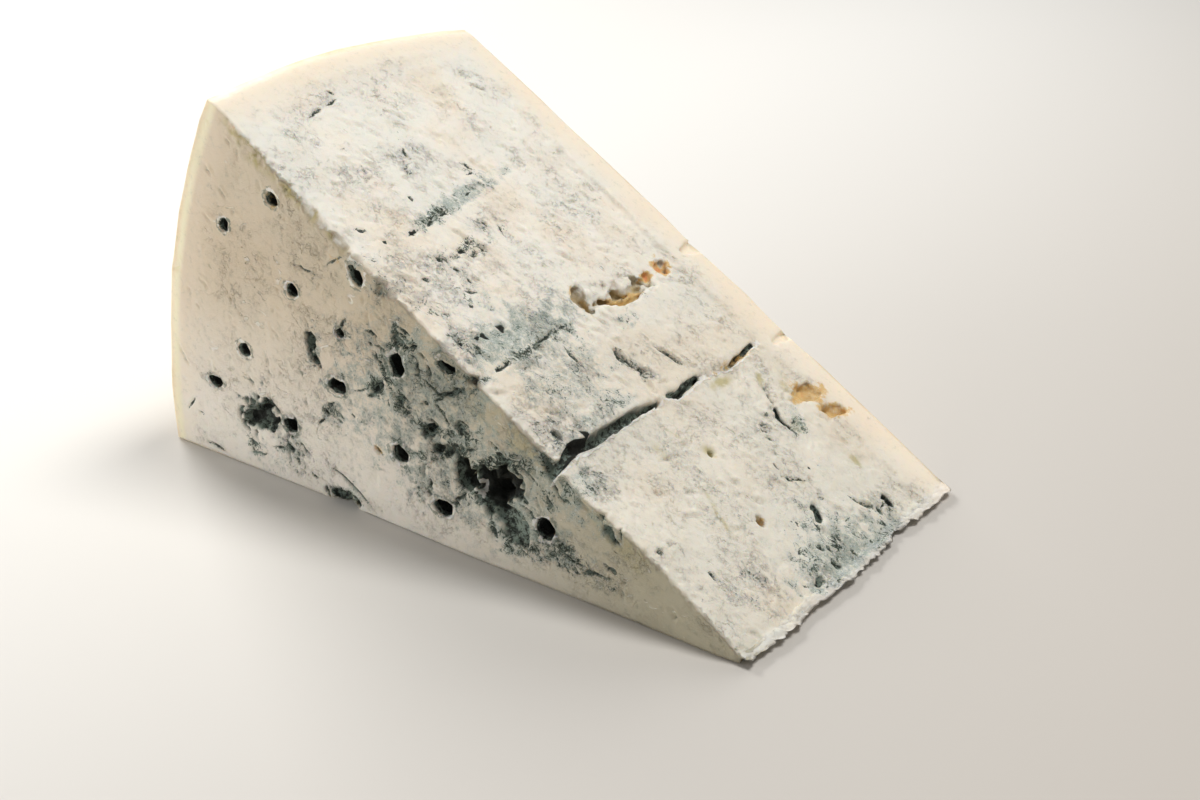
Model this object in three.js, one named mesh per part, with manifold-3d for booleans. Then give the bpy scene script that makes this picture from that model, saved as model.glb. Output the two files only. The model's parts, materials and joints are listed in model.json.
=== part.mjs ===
// A wedge of blue-veined gorgonzola. The wheel was first halved across its axis and then cut into
// wedges from rind to middle, and this wedge lies on one of its two long cuts.
//
// Frame, in millimetres: +Z is up and the base lies on Z = 0. +X runs along the base from the rind to
// the thin end, and +Y along the wheel's axis, from the halving cut to the wheel's flat face. The
// origin is the middle of the base's bounding box. Every shape below is first made with X = 0 at the
// thin end and Y = 0 at the halving cut, and the finished mesh is then moved to the origin.
import * as THREE from "three";
import { mergeVertices } from "three/addons/utils/BufferGeometryUtils.js";
import Module from "manifold-3d";

const wasm = await Module();
wasm.setup();

// ---------------------------------------------------------------- driving dimensions

const RIM_RADIUS_AT_HALVING = 154.6; // the wheel's radius at the halving cut
const RIM_RADIUS_AT_FLAT = 155.6; // and at its flat face
const SIDE_SWELL = 3.8; // how far the side stands out between those two
const HALF_HEIGHT = 81.6; // half of the wheel's height, at its axis
const FLAT_FACE_FALL = 2; // how much lower the flat face is at the rim
const CUT_ANGLE = THREE.MathUtils.degToRad(32.3); // between the base and the upper cut
const THIN_END_THICKNESS = 0.9; // the upper cut never runs thinner than this
const THIN_END_REACH = 1.2; // how far the rind's corner stands out past X = 0
const THIN_END_ROUNDING = 3.4; // and how much that corner is rounded back
const SHOULDER_ROUNDING = 3.5; // where the wheel's side meets its flat face
const BASE_ROUNDING = 3; // where the side meets the base
const RIND_BAND = 10; // depth of the smooth paste under the rind
const AIR = 4; // how far a blank or a cutter reaches past the surface it makes

const LENGTH_TO_RIND = (RIM_RADIUS_AT_HALVING + RIM_RADIUS_AT_FLAT) / 2 + SIDE_SWELL;
const ORIGIN_X = (THIN_END_REACH - LENGTH_TO_RIND) / 2;
const ORIGIN_Y = HALF_HEIGHT / 2;

// The torn upper cut: layers of relief, each with its height, its length from rind to thin end and its
// width along the axis.
const CRAG_LAYERS = [
  [0.6, 34, 22],
  [0.5, 12, 5.5],
  [0.35, 6, 2.8],
];
const TORN_AWAY = 0.4; // mean depth that tearing took off the cut
const SLUMP = 1.1; // how much the paste has sunk beside the long crack, on its thin-end side
const CRACK_RADIUS = 52; // where that crack crosses the cut
const SLUMP_LENGTH = 26; // how far towards the thin end it goes
const SLUMP_WIDTH = 56; // and how far along the axis
const EDGE_CRUMBLE = 0.5; // mean depth lost along the edge between the two cuts
const CHIPPED_EDGE = [97, 126]; // where that edge is chipped deeper, from the thin end
const CHIP_DEPTH = 0.8;
const EDGE_WIDTH = 3.2; // how far the crumbling goes into the upper cut

// Mesh density.
const AXIS_STEPS = 28; // along the wheel's axis, of which the last few turn the shoulder
const SHOULDER_STEPS = 4;
const ARC_STEPS = 20; // round the rind, of which the last few turn the base's rounding
const BASE_ROUNDING_STEPS = 4;
const CRAG_STEP = 2.55; // grid of the torn upper cut
const HOLE_SIDES = 10;

// ---------------------------------------------------------------- needle holes, pits and tears

// Needle holes in the halving cut: distance from the thin end, height, half-width, half-height, depth.
const NEEDLE_HOLES = [
  [114.8, 64.6, 1.7, 1.6, 14],
  [130.2, 56.2, 1.4, 1.4, 9],
  [92.6, 54.2, 2.0, 2.6, 16],
  [111.4, 46.2, 1.8, 1.5, 15],
  [98.6, 39.9, 1.2, 1.1, 8],
  [128.2, 28.7, 1.9, 1.6, 12],
  [139.0, 18.4, 2.2, 1.3, 11],
  [101.0, 27.6, 2.4, 1.6, 13],
  [83.6, 36.9, 2.0, 2.5, 18],
  [70.1, 40.9, 2.3, 1.6, 17],
  [116.0, 14.2, 2.0, 1.6, 14],
  [84.0, 17.4, 2.2, 2.0, 16],
  [73.0, 8.8, 2.5, 1.8, 14],
  [47.4, 12.6, 2.1, 2.2, 12],
  [68.0, 27.9, 2.0, 1.6, 2.6],
  [90.2, 16.5, 1.1, 0.9, 3],
  [63.2, 39.6, 1.0, 0.8, 6],
  [32.2, 18.0, 1.7, 2.3, 7],
];

// The same needles went in from the flat face, a little off those.
const FLAT_FACE_DRIFT = 2.2;
const FLAT_FACE_HOLE_RADIUS = 1.9;
const FLAT_FACE_HOLE_DEPTH = 13;
const FLAT_FACE_EDGE = 9; // no hole is nearer than this to an edge of the flat face

// Mould-lined pits in the halving cut. Each has a rough outline, as distances from the thin end and
// heights, a depth, and the share of the outline that its floor keeps.
const HALVING_PITS = [
  // the great cavity
  {
    outline: [[69, 20.4], [66.4, 23.4], [58.6, 23.2], [52.6, 18.4], [55.6, 13.6], [61.6, 12], [67, 16.6]],
    depth: 9,
    floor: 0.62,
  },
  // the hollow low on the rind side
  {
    outline: [[130.6, 11.6], [128, 16.8], [122.4, 18.2], [119.8, 14], [123.4, 9.8]],
    depth: 4.5,
    floor: 0.55,
  },
  // the upright slot
  { outline: [[109.2, 36.8], [106.4, 37.6], [105, 30.6], [107.4, 30]], depth: 4, floor: 0.5 },
  // the knot of holes above the great cavity
  { outline: [[84.8, 43.4], [79.4, 45], [78.4, 40.6], [82.6, 40.4]], depth: 2.6, floor: 0.5 },
  // the scoop beside the great cavity
  { outline: [[77.4, 25.8], [74, 26.2], [70.8, 21], [75.6, 20.6]], depth: 2.8, floor: 0.5 },
  // the crumbling mouth of the long crack
  { outline: [[47.2, 27.2], [44.4, 29.6], [42.4, 26.6], [44.6, 21.8]], depth: 7, floor: 0.5 },
  // the hollow cut open by the base
  { outline: [[106, 0.4], [101.6, 3], [97.4, 1.8], [100.4, -1.4]], depth: 3.4, floor: 0.5 },
];

// Pits in the upper cut, their outlines given as distances from the thin end and along the axis.
const UPPER_PITS = [
  // the broken hollow along the second needle channel
  {
    outline: [[82.8, 38.4], [81.6, 48], [78.8, 60.6], [75.8, 58], [73.4, 47], [74.2, 39], [78, 35.8]],
    depth: 4.6,
    floor: 0.72,
  },
  // the rust-coloured pocket in the same channel
  { outline: [[80, 65.2], [78.2, 69.2], [75.8, 68], [77, 64.2]], depth: 2.6, floor: 0.6 },
  // two golden pockets by the rind
  { outline: [[39.4, 67.4], [37.2, 73], [34, 71.6], [35.2, 65.4]], depth: 2.8, floor: 0.5 },
  { outline: [[31.8, 69.6], [28.4, 76.6], [26.4, 75.2], [28.8, 68.8]], depth: 2.2, floor: 0.5 },
  // the knot of crescents
  { outline: [[102.6, 25.6], [99.4, 28.2], [98, 23], [100.4, 21.4]], depth: 2, floor: 0.4 },
  // a slit and two small pits towards the thin end
  { outline: [[17.2, 44.2], [14.4, 44.6], [11.8, 40.8], [14.6, 41.8]], depth: 2.6, floor: 0.4 },
  { outline: [[9.6, 63.8], [7, 65], [5.4, 63.2], [7.8, 62.4]], depth: 2.2, floor: 0.5 },
  { outline: [[21.8, 29.8], [20, 31.2], [19, 29.4], [20.6, 28.4]], depth: 1.6, floor: 0.5 },
];

// Cracks in the upper cut. A path gives distance from the thin end, distance along the axis and
// half-width at each of its points.
const UPPER_CRACKS = [
  // the long crack, along a needle channel: its wide half and its narrow half
  {
    path: [[51.6, -AIR, 0.9], [52, 2, 1], [53, 6, 1.7], [52.5, 14, 1.6], [52.9, 22, 1.6], [52.4, 31, 1.3]],
    depth: 7.5,
  },
  {
    path: [[51, 33, 0.6], [51.8, 38, 1], [51.2, 44, 1], [51.9, 49, 0.5], [50.4, 58, 0.7], [51.4, 69, 0.8]],
    depth: 4.5,
  },
  // the crevice round the pale flake
  { path: [[43, 62, 0.7], [38, 58.8, 0.7], [34, 56.8, 0.9], [30.8, 60.6, 1.2]], depth: 3 },
  // short crosswise cracks
  { path: [[65, 45.4, 0.4], [60, 45.6, 0.8], [55.4, 47, 0.5]], depth: 1.8 },
  { path: [[65.6, 34.6, 0.8], [61.6, 34.6, 0.7], [57.6, 37, 0.8]], depth: 1.8 },
];

// Needle channels that the upper cut laid open through the rind: distance from the thin end, where
// the notch begins along the axis, and radius.
const RIND_NOTCHES = [
  [78.6, 74.6, 1.8],
  [49.5, 74.2, 1.3],
];

// Loose paste left standing in hollows: distance from the thin end, along the axis, height of the
// middle over the upper cut, then half-sizes along those three.
const STANDING_LUMPS = [
  [79.8, 43.6, -1.6, 2.2, 3.2, 1.9],
  [78.6, 50.4, -1.3, 2.2, 4.2, 1.9],
  [78.6, 56.2, -1.2, 1.2, 2.6, 1.6],
  [36.6, 62.4, -0.5, 3, 2.8, 1.5],
];

// ---------------------------------------------------------------- noise

// A repeatable value from 0 to 1 for each whole-numbered place.
function lattice(i, j, seed) {
  const s = Math.sin(i * 127.1 + j * 311.7 + seed * 74.7) * 43758.5453;
  return s - Math.floor(s);
}

// Smooth noise from -1 to 1, one cell for each unit.
function noise(x, y, seed) {
  const i = Math.floor(x);
  const j = Math.floor(y);
  const u = (x - i) ** 2 * (3 - 2 * (x - i));
  const w = (y - j) ** 2 * (3 - 2 * (y - j));
  const near = lattice(i, j, seed) * (1 - u) + lattice(i + 1, j, seed) * u;
  const far = lattice(i, j + 1, seed) * (1 - u) + lattice(i + 1, j + 1, seed) * u;
  return 2 * (near * (1 - w) + far * w) - 1;
}

// From 0 to 1 as x goes from one value to another.
const fade = (x, from, to) => THREE.MathUtils.smoothstep(x, from, to);

// 1 between two values and 0 outside them, with ends this soft.
const within = (x, from, to, soft) => fade(x, from - soft, from + soft) * (1 - fade(x, to - soft, to + soft));

// ---------------------------------------------------------------- the surfaces

// How far along the axis the flat face lies, at a distance from the axis.
function flatFace(away) {
  return HALF_HEIGHT - FLAT_FACE_FALL * (Math.max(0, away) / RIM_RADIUS_AT_FLAT) ** 1.5;
}

// The wheel's radius at a height y along its axis, with the shoulder turned at the flat face.
function rimRadius(y) {
  const top = flatFace(RIM_RADIUS_AT_FLAT);
  const t = THREE.MathUtils.clamp(y / top, 0, 1);
  const side =
    RIM_RADIUS_AT_HALVING +
    (RIM_RADIUS_AT_FLAT - RIM_RADIUS_AT_HALVING) * t +
    SIDE_SWELL * Math.sin(Math.PI * t);
  const past = THREE.MathUtils.clamp(y - top + SHOULDER_ROUNDING, 0, SHOULDER_ROUNDING);
  return side - SHOULDER_ROUNDING + Math.sqrt(SHOULDER_ROUNDING ** 2 - past ** 2);
}

// How far the thin end reaches along X at a height y along the axis: torn, then smooth under the rind.
function thinEndReach(y) {
  const torn = 0.2 + 0.9 * noise(y / 7, 0, 3) + 0.5 * noise(y / 2.9, 0, 4);
  const smooth = THIN_END_REACH - THIN_END_ROUNDING * fade(y, HALF_HEIGHT - 3, HALF_HEIGHT + 1.5);
  const smoothFrom = HALF_HEIGHT - RIND_BAND - 8;
  return THREE.MathUtils.lerp(torn, smooth, fade(y, smoothFrom - 4, smoothFrom + 4));
}

// How far the upper cut's torn surface stands off its plane at r from the thin end and v along the axis.
function cragHeight(r, v) {
  const underRind = rimRadius(v) - RIND_BAND;
  const band = Math.max(
    fade(v, HALF_HEIGHT - RIND_BAND - 1.4, HALF_HEIGHT - RIND_BAND + 0.2),
    fade(r, underRind - 3, underRind + 3),
  );
  const crags = CRAG_LAYERS.reduce(
    (sum, [height, length, width], layer) => sum + height * noise(r / length, v / width, 11 + layer),
    -TORN_AWAY,
  );
  const slumped =
    -SLUMP *
    (1 - fade(r, CRACK_RADIUS - 1, CRACK_RADIUS + 0.8)) *
    fade(r, CRACK_RADIUS - SLUMP_LENGTH, CRACK_RADIUS) *
    (1 - fade(v, SLUMP_WIDTH - 12, SLUMP_WIDTH + 12));
  const roundedRind = -0.05 * Math.max(0, r - rimRadius(v) + 4) ** 2;
  const roundedShoulder = -0.12 * Math.max(0, v - flatFace(r) + 2) ** 2;
  const [chipsFrom, chipsTo] = CHIPPED_EDGE;
  const crumble = EDGE_CRUMBLE * (1 - fade(r, underRind - 4, underRind + 4));
  const lost = crumble + CHIP_DEPTH * within(r, chipsFrom, chipsTo, 3);
  const uneven = 1 + noise(r / 4.5, 5, 14) + 0.5 * noise(r / 2, 5, 15);
  const crumbled = -lost * uneven * (1 - fade(v, 0, EDGE_WIDTH));
  return crags * (1 - band) + slumped + roundedRind + roundedShoulder + crumbled;
}

// A point given in the upper cut's own terms: r from the thin end, v along the axis, h out of the cut.
function onUpperCut(r, v, h) {
  return new THREE.Vector3(
    h * Math.sin(CUT_ANGLE) - r * Math.cos(CUT_ANGLE),
    v,
    r * Math.sin(CUT_ANGLE) + h * Math.cos(CUT_ANGLE),
  );
}

const intoHalvingCut = (away, z, depth) => new THREE.Vector3(-away, depth, z);
const intoFlatFace = (away, z, depth) => new THREE.Vector3(-away, flatFace(away) - depth, z);
const intoUpperCut = (r, v, depth) => onUpperCut(r, v, -depth);

// ---------------------------------------------------------------- solids

// A closed geometry as a solid that can be joined and cut, turned to face out.
function solidFrom(geometry) {
  const bare = geometry.clone();
  bare.deleteAttribute("normal");
  bare.deleteAttribute("uv");
  const merged = mergeVertices(bare, 1e-4);
  const mesh = (triangles) =>
    new wasm.Manifold(
      new wasm.Mesh({
        numProp: 3,
        vertProperties: new Float32Array(merged.attributes.position.array),
        triVerts: new Uint32Array(triangles),
      }),
    );
  const made = mesh(merged.index.array);
  return made.volume() > 0 ? made : mesh(Array.from(merged.index.array).reverse());
}

// A box whose points are moved by place(x, y, z), each from 0 to 1.
function mouldedBox(xSteps, ySteps, zSteps, place) {
  const geometry = new THREE.BoxGeometry(1, 1, 1, xSteps, ySteps, zSteps);
  const points = geometry.attributes.position;
  for (let i = 0; i < points.count; i++) {
    const p = place(points.getX(i) + 0.5, points.getY(i) + 0.5, points.getZ(i) + 0.5);
    points.setXYZ(i, p.x, p.y, p.z);
  }
  return geometry;
}

// Steps from 0 to 1 that spend the last few of them on a rounded corner past `from`.
function stepsIntoCorner(share, steps, lastSteps, from) {
  const k = Math.round(share * steps);
  const plain = steps - lastSteps;
  if (k <= plain) return (from * k) / plain;
  return from + (1 - from) * Math.sin(((k - plain) / lastSteps) * (Math.PI / 2));
}

// The wedge before its upper cut: flat base and halving cut, swelling rind and torn thin end.
function blank() {
  const rim = flatFace(RIM_RADIUS_AT_FLAT);
  const shoulderFrom = (rim - SHOULDER_ROUNDING) / rim;
  const top = rimRadius(rim / 2) * Math.sin(CUT_ANGLE) + 2 * AIR;
  return mouldedBox(6, AXIS_STEPS, ARC_STEPS, (fromRind, along, up) => {
    const turned = stepsIntoCorner(along, AXIS_STEPS, SHOULDER_STEPS, shoulderFrom);
    const radius = rimRadius(rim * turned);
    const down = stepsIntoCorner(1 - up, ARC_STEPS, BASE_ROUNDING_STEPS, 1 - BASE_ROUNDING / top);
    const z = top * (1 - down);
    const below = Math.max(0, BASE_ROUNDING - z);
    const inset = BASE_ROUNDING - Math.sqrt(BASE_ROUNDING ** 2 - below ** 2);
    const rindX = inset - Math.sqrt(radius ** 2 - z ** 2);
    const x = THREE.MathUtils.lerp(rindX, 0, fromRind);
    const y = flatFace(-x) * turned;
    return new THREE.Vector3(x + fromRind * thinEndReach(y), y, z * (1 - fromRind) + top * up * fromRind);
  });
}

// Everything under the torn upper cut.
function underUpperCut() {
  const reach = LENGTH_TO_RIND + 2 * AIR;
  const rSteps = Math.round((reach + 2 * AIR) / CRAG_STEP);
  const vSteps = Math.round((HALF_HEIGHT + 2 * AIR) / CRAG_STEP);
  return mouldedBox(rSteps, vSteps, 1, (fromRind, along, up) => {
    const r = THREE.MathUtils.lerp(reach, -2 * AIR, fromRind);
    const v = THREE.MathUtils.lerp(-AIR, HALF_HEIGHT + AIR, along);
    if (up < 0.5) return new THREE.Vector3(-r - AIR, v, -AIR);
    const p = onUpperCut(r, v, cragHeight(r, v));
    p.z = Math.max(p.z, THIN_END_THICKNESS);
    return p;
  });
}

// A cutter sunk into a face. Each of its rings is an anticlockwise list of points [a, b], given at a
// depth, and place(a, b, depth) puts such a point under the face.
function sunk(rings, place) {
  const sides = rings[0].points.length;
  const last = (rings.length - 1) * sides;
  const mouth = rings[0].points.map((p) => new THREE.Vector2(...p));
  const caps = THREE.ShapeUtils.triangulateShape(mouth, []);
  const faces = caps.flatMap(([a, b, c]) => [a, b, c, last + a, last + c, last + b]);
  for (let ring = 0; ring < rings.length - 1; ring++) {
    for (let i = 0; i < sides; i++) {
      const a = ring * sides + i;
      const b = ring * sides + ((i + 1) % sides);
      faces.push(a, a + sides, b, b, a + sides, b + sides);
    }
  }
  const positions = rings.flatMap(({ points, depth }) =>
    points.flatMap(([a, b]) => place(a, b, depth).toArray()),
  );
  const geometry = new THREE.BufferGeometry();
  geometry.setAttribute("position", new THREE.Float32BufferAttribute(positions, 3));
  geometry.setIndex(faces);
  return solidFrom(geometry);
}

// Each side of a rough outline is broken once, so that it isn't straight.
function broken(outline) {
  return outline.flatMap(([a, b], i) => {
    const [c, d] = outline[(i + 1) % outline.length];
    const push = 0.16 * noise(a * 0.7, b * 0.7, 41);
    return [[a, b], [(a + c) / 2 + push * (d - b), (b + d) / 2 - push * (c - a)]];
  });
}

// A pit goes straight in at its mouth and narrows to its floor.
function pit({ outline, depth, floor }, place) {
  const middle = [0, 1].map((k) => outline.reduce((sum, p) => sum + p[k], 0) / outline.length);
  const shares = [[-AIR, 1], [depth * 0.25, 1], [depth * 0.7, (1 + floor) / 2], [depth, floor]];
  const rings = shares.map(([at, share]) => ({
    depth: at,
    points: outline.map((p) => p.map((value, k) => middle[k] + share * (value - middle[k]))),
  }));
  return sunk(rings, place);
}

// A crack closes towards its floor but keeps its length.
function crack({ path, depth }) {
  const beside = (i, offset) => {
    const [r, v, half] = path[i];
    const [fromR, fromV] = path[Math.max(0, i - 1)];
    const [toR, toV] = path[Math.min(path.length - 1, i + 1)];
    const across = new THREE.Vector2(toV - fromV, fromR - toR).setLength(offset * half);
    return [r + across.x, v + across.y];
  };
  const rings = [[-AIR, 1], [depth * 0.5, 0.85], [depth, 0.25]].map(([at, share]) => ({
    depth: at,
    points: [
      ...path.map((_, i) => beside(i, share)),
      ...path.map((_, i) => beside(i, -share)).toReversed(),
    ],
  }));
  return sunk(rings, intoUpperCut);
}

// The uneven mouth of a needle hole.
function holeOutline(a, b, halfWidth, halfHeight, seed) {
  return Array.from({ length: HOLE_SIDES }, (_, i) => {
    const turn = (2 * Math.PI * i) / HOLE_SIDES;
    const uneven = 1 + 0.14 * noise(i * 0.9, seed, 21);
    return [a + uneven * halfWidth * Math.cos(turn), b + uneven * halfHeight * Math.sin(turn)];
  });
}

function needleHoles() {
  return NEEDLE_HOLES.map(([away, z, halfWidth, halfHeight, depth], i) =>
    pit({ outline: holeOutline(away, z, halfWidth, halfHeight, i), depth, floor: 0.6 }, intoHalvingCut),
  );
}

// The flat face's holes, left out where they would come too near an edge.
function flatFaceHoles() {
  return NEEDLE_HOLES.flatMap(([away, z], i) => {
    const a = away + FLAT_FACE_DRIFT * noise(i * 1.7, 1, 31);
    const b = z + FLAT_FACE_DRIFT * noise(i * 1.7, 2, 32);
    const underUpperCutBy = a * Math.sin(CUT_ANGLE) - b * Math.cos(CUT_ANGLE);
    const insideRimBy = RIM_RADIUS_AT_FLAT - Math.hypot(a, b);
    if (Math.min(underUpperCutBy, insideRimBy, b) < FLAT_FACE_EDGE) return [];
    const outline = holeOutline(a, b, FLAT_FACE_HOLE_RADIUS, FLAT_FACE_HOLE_RADIUS, i + 40);
    return [pit({ outline, depth: FLAT_FACE_HOLE_DEPTH, floor: 0.6 }, intoFlatFace)];
  });
}

// Half-channels across the rind, open along the upper cut.
function rindNotches() {
  return RIND_NOTCHES.map(([r, from, radius], i) => {
    const rings = [[from, 0.7], [HALF_HEIGHT + AIR, 1.1]].map(([v, share]) => ({
      depth: v,
      points: holeOutline(r, 0, share * radius, share * radius, i + 60),
    }));
    return sunk(rings, (a, h, v) => onUpperCut(a, v, h));
  });
}

function standingLumps() {
  return STANDING_LUMPS.map(([r, v, h, halfR, halfV, halfH], i) => {
    const geometry = new THREE.IcosahedronGeometry(1, 1);
    const points = geometry.attributes.position;
    for (let k = 0; k < points.count; k++) {
      const [x, y, z] = [points.getX(k), points.getY(k), points.getZ(k)];
      const uneven = 1 + 0.22 * noise(2.1 * x + 5 * i, 2.1 * y + 1.3 * z, 51);
      const p = onUpperCut(r + halfR * x * uneven, v + halfV * y * uneven, h + halfH * z * uneven);
      points.setXYZ(k, p.x, p.y, p.z);
    }
    return solidFrom(geometry);
  });
}

// ---------------------------------------------------------------- the wedge

function wedgeGeometry() {
  const whole = solidFrom(blank()).intersect(solidFrom(underUpperCut()));
  const cutters = [
    ...needleHoles(),
    ...flatFaceHoles(),
    ...rindNotches(),
    ...HALVING_PITS.map((hollow) => pit({ ...hollow, outline: broken(hollow.outline) }, intoHalvingCut)),
    ...UPPER_PITS.map((hollow) => pit({ ...hollow, outline: broken(hollow.outline) }, intoUpperCut)),
    ...UPPER_CRACKS.map(crack),
  ];
  const cut = cutters.reduce((body, cutter) => body.subtract(cutter), whole);
  const made = standingLumps().reduce((body, lump) => body.add(lump), cut);
  const mesh = made.getMesh();
  const geometry = new THREE.BufferGeometry();
  geometry.setAttribute("position", new THREE.BufferAttribute(mesh.vertProperties, 3));
  geometry.setIndex(new THREE.BufferAttribute(mesh.triVerts, 1));
  geometry.computeVertexNormals();
  return geometry;
}

const paste = new THREE.MeshStandardMaterial({ color: 0xe6ddca, roughness: 0.6, metalness: 0 });
const wedge = new THREE.Mesh(wedgeGeometry(), paste);
wedge.name = "gorgonzola_wedge";
wedge.position.set(-ORIGIN_X, -ORIGIN_Y, 0);

const part = new THREE.Group();
part.add(wedge);

export default part;
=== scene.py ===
"""A wedge of blue-veined gorgonzola lying on one of its long cuts: its paste, mould and light.

The wedge is modelled in millimetres in its own terms and placed in metres at the end of each step.
X = 0 is the thin end, Y = 0 the halving cut, Z = 0 the base. On the upper cut a place is given by r,
its distance from the thin end up the slope, v, its distance along the wheel's axis, and h, its height
over the cut.
"""
import json
import math

import bpy
import numpy as np
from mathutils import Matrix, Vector

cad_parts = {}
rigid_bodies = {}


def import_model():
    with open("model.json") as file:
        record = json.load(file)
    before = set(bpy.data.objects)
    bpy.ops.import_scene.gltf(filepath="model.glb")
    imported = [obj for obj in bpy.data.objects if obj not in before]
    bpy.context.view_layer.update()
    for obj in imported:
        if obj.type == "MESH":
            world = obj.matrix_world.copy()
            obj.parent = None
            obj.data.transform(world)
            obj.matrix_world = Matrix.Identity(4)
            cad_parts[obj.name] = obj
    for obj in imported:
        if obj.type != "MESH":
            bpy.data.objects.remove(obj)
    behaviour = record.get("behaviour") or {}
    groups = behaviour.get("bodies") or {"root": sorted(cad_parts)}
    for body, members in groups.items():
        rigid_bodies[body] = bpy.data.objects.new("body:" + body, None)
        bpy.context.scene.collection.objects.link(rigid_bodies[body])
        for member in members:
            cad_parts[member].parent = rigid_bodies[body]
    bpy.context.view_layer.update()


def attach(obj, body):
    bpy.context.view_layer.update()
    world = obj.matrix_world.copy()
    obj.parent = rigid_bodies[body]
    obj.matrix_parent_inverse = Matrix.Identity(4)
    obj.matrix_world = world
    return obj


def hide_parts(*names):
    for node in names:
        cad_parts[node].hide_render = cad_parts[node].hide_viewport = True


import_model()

MM = 0.001

# ---------------------------------------------------------------- driving dimensions, in millimetres

RIM_RADIUS_AT_HALVING = 154.6
RIM_RADIUS_AT_FLAT = 155.6
SIDE_SWELL = 3.8
HALF_HEIGHT = 81.6
FLAT_FACE_FALL = 2.0
CUT_ANGLE = math.radians(32.3)
THIN_END_THICKNESS = 1.3
THIN_END_REACH = 1.2
THIN_END_ROUNDING = 3.4
RIND_BAND = 10.0
AIR = 4.0

LENGTH_TO_RIND = (RIM_RADIUS_AT_HALVING + RIM_RADIUS_AT_FLAT) / 2 + SIDE_SWELL
ORIGIN = np.array([(THIN_END_REACH - LENGTH_TO_RIND) / 2, HALF_HEIGHT / 2, 0.0])

UP_SLOPE = np.array([-math.cos(CUT_ANGLE), 0.0, math.sin(CUT_ANGLE)])
OUT_OF_CUT = np.array([math.sin(CUT_ANGLE), 0.0, math.cos(CUT_ANGLE)])
INTO_UPPER_CUT = -OUT_OF_CUT

VOXEL = 0.42
MOST_TRIANGLES = 196000

DEPTH, STAIN, SPECKS = 5, 5, 6  # where those stand in the rows of the lists below

# ---------------------------------------------------------------- needle holes, pits and tears

# Needle holes in the halving cut: distance from the thin end, height, half-width, half-height, depth.
NEEDLE_HOLES = [
    (114.8, 64.6, 1.7, 1.6, 14),
    (130.2, 56.2, 1.4, 1.4, 9),
    (92.6, 54.2, 2, 2.6, 16),
    (111.4, 46.2, 1.8, 1.5, 15),
    (98.6, 39.9, 1.2, 1.1, 8),
    (128.2, 28.7, 1.9, 1.6, 12),
    (139, 18.4, 2.2, 1.3, 11),
    (101, 27.6, 2.4, 1.6, 13),
    (83.6, 36.9, 2, 2.5, 18),
    (70.1, 40.9, 2.3, 1.6, 17),
    (116, 14.2, 2, 1.6, 14),
    (84, 17.4, 2.2, 2, 16),
    (73, 8.8, 2.5, 1.8, 14),
    (47.4, 12.6, 2.1, 2.2, 12),
    (68, 27.9, 2, 1.6, 1),
    (90.2, 16.5, 1.1, 0.9, 3),
    (63.2, 39.6, 1, 0.8, 6),
    (32.2, 18, 1.7, 2.1, 2),
]

# The same needles went in from the flat face, a little off those.
FLAT_FACE_DRIFT = 2.2
FLAT_FACE_HOLE_RADIUS = 1.9
FLAT_FACE_HOLE_DEPTH = 13.0
FLAT_FACE_EDGE = 9.0

# Mould-lined pits in the halving cut: distance from the thin end, height, half-width, half-height,
# turn in degrees, depth.
HALVING_PITS = [
    (67.1, 18.4, 1.8, 3.5, -8, 8.5),  # the great cavity, as hollows run together round a thin web
    (62.8, 18.2, 2.2, 3.7, 8, 4.4),
    (60, 15.4, 3.3, 3, 20, 9),
    (57.6, 19.6, 3.5, 3.3, -20, 9),
    (54.8, 18.6, 1.6, 1.6, 0, 4),
    (55.2, 10.8, 4.8, 3.6, 10, 1.7),  # the furry floor below it
    (47, 12.4, 1.8, 2, 10, 2),
    (60.2, 7.4, 1.6, 0.9, 60, 1.2),
    (75.6, 25.2, 1.8, 1.5, -30, 2.6),
    (73.6, 21.6, 1.8, 1.1, -30, 2),
    (70.6, 22, 1.9, 0.9, -45, 2.2),
    (125.6, 13.4, 4.6, 3.2, -12, 3.8),
    (122.4, 12.8, 1.4, 2.1, -14, 6),
    (129.2, 12, 1.6, 1.6, 0, 4.4),
    (123.2, 16.8, 2.4, 1.2, -30, 2.4),
    (107.6, 35.8, 1.2, 2, 8, 3.4),
    (106.5, 32.2, 1.1, 1.6, -12, 3),
    (82.4, 42.2, 1.8, 1, 20, 1.2),
    (79, 41.8, 1.1, 0.6, -45, 1.4),
    (75, 37, 0.9, 1.1, 0, 1.2),
    (70.7, 33.8, 2.2, 0.6, -13, 1.4),
    (68, 35.4, 1.6, 0.6, -28, 1.3),
    (45.9, 26.6, 1.3, 2.2, -16, 7),
    (44.4, 23.2, 0.8, 2.2, -24, 4),
    (37.4, 22.8, 2.4, 0.6, 42, 1.8),
    (31.4, 16.4, 1.4, 1.2, 0, 1.6),
    (101.8, 1.2, 3.6, 1.5, 6, 3.2),
    (98.7, 5, 4.8, 0.4, 30, 1),
    (104.6, 20.6, 1, 0.6, 15, 1.4),
    (89.6, 30, 2.7, 0.9, -44, 2),
    (82.8, 29.8, 1.2, 0.9, 0, 1.6),
    (86, 53.4, 1.9, 0.8, -62, 1.6),
    (77.8, 16, 0.7, 2.8, 8, 1.2),
    (76.6, 10.8, 0.9, 1.4, 0, 1.2),
    (117, 8.6, 1.6, 0.7, 50, 1.2),
]

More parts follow.
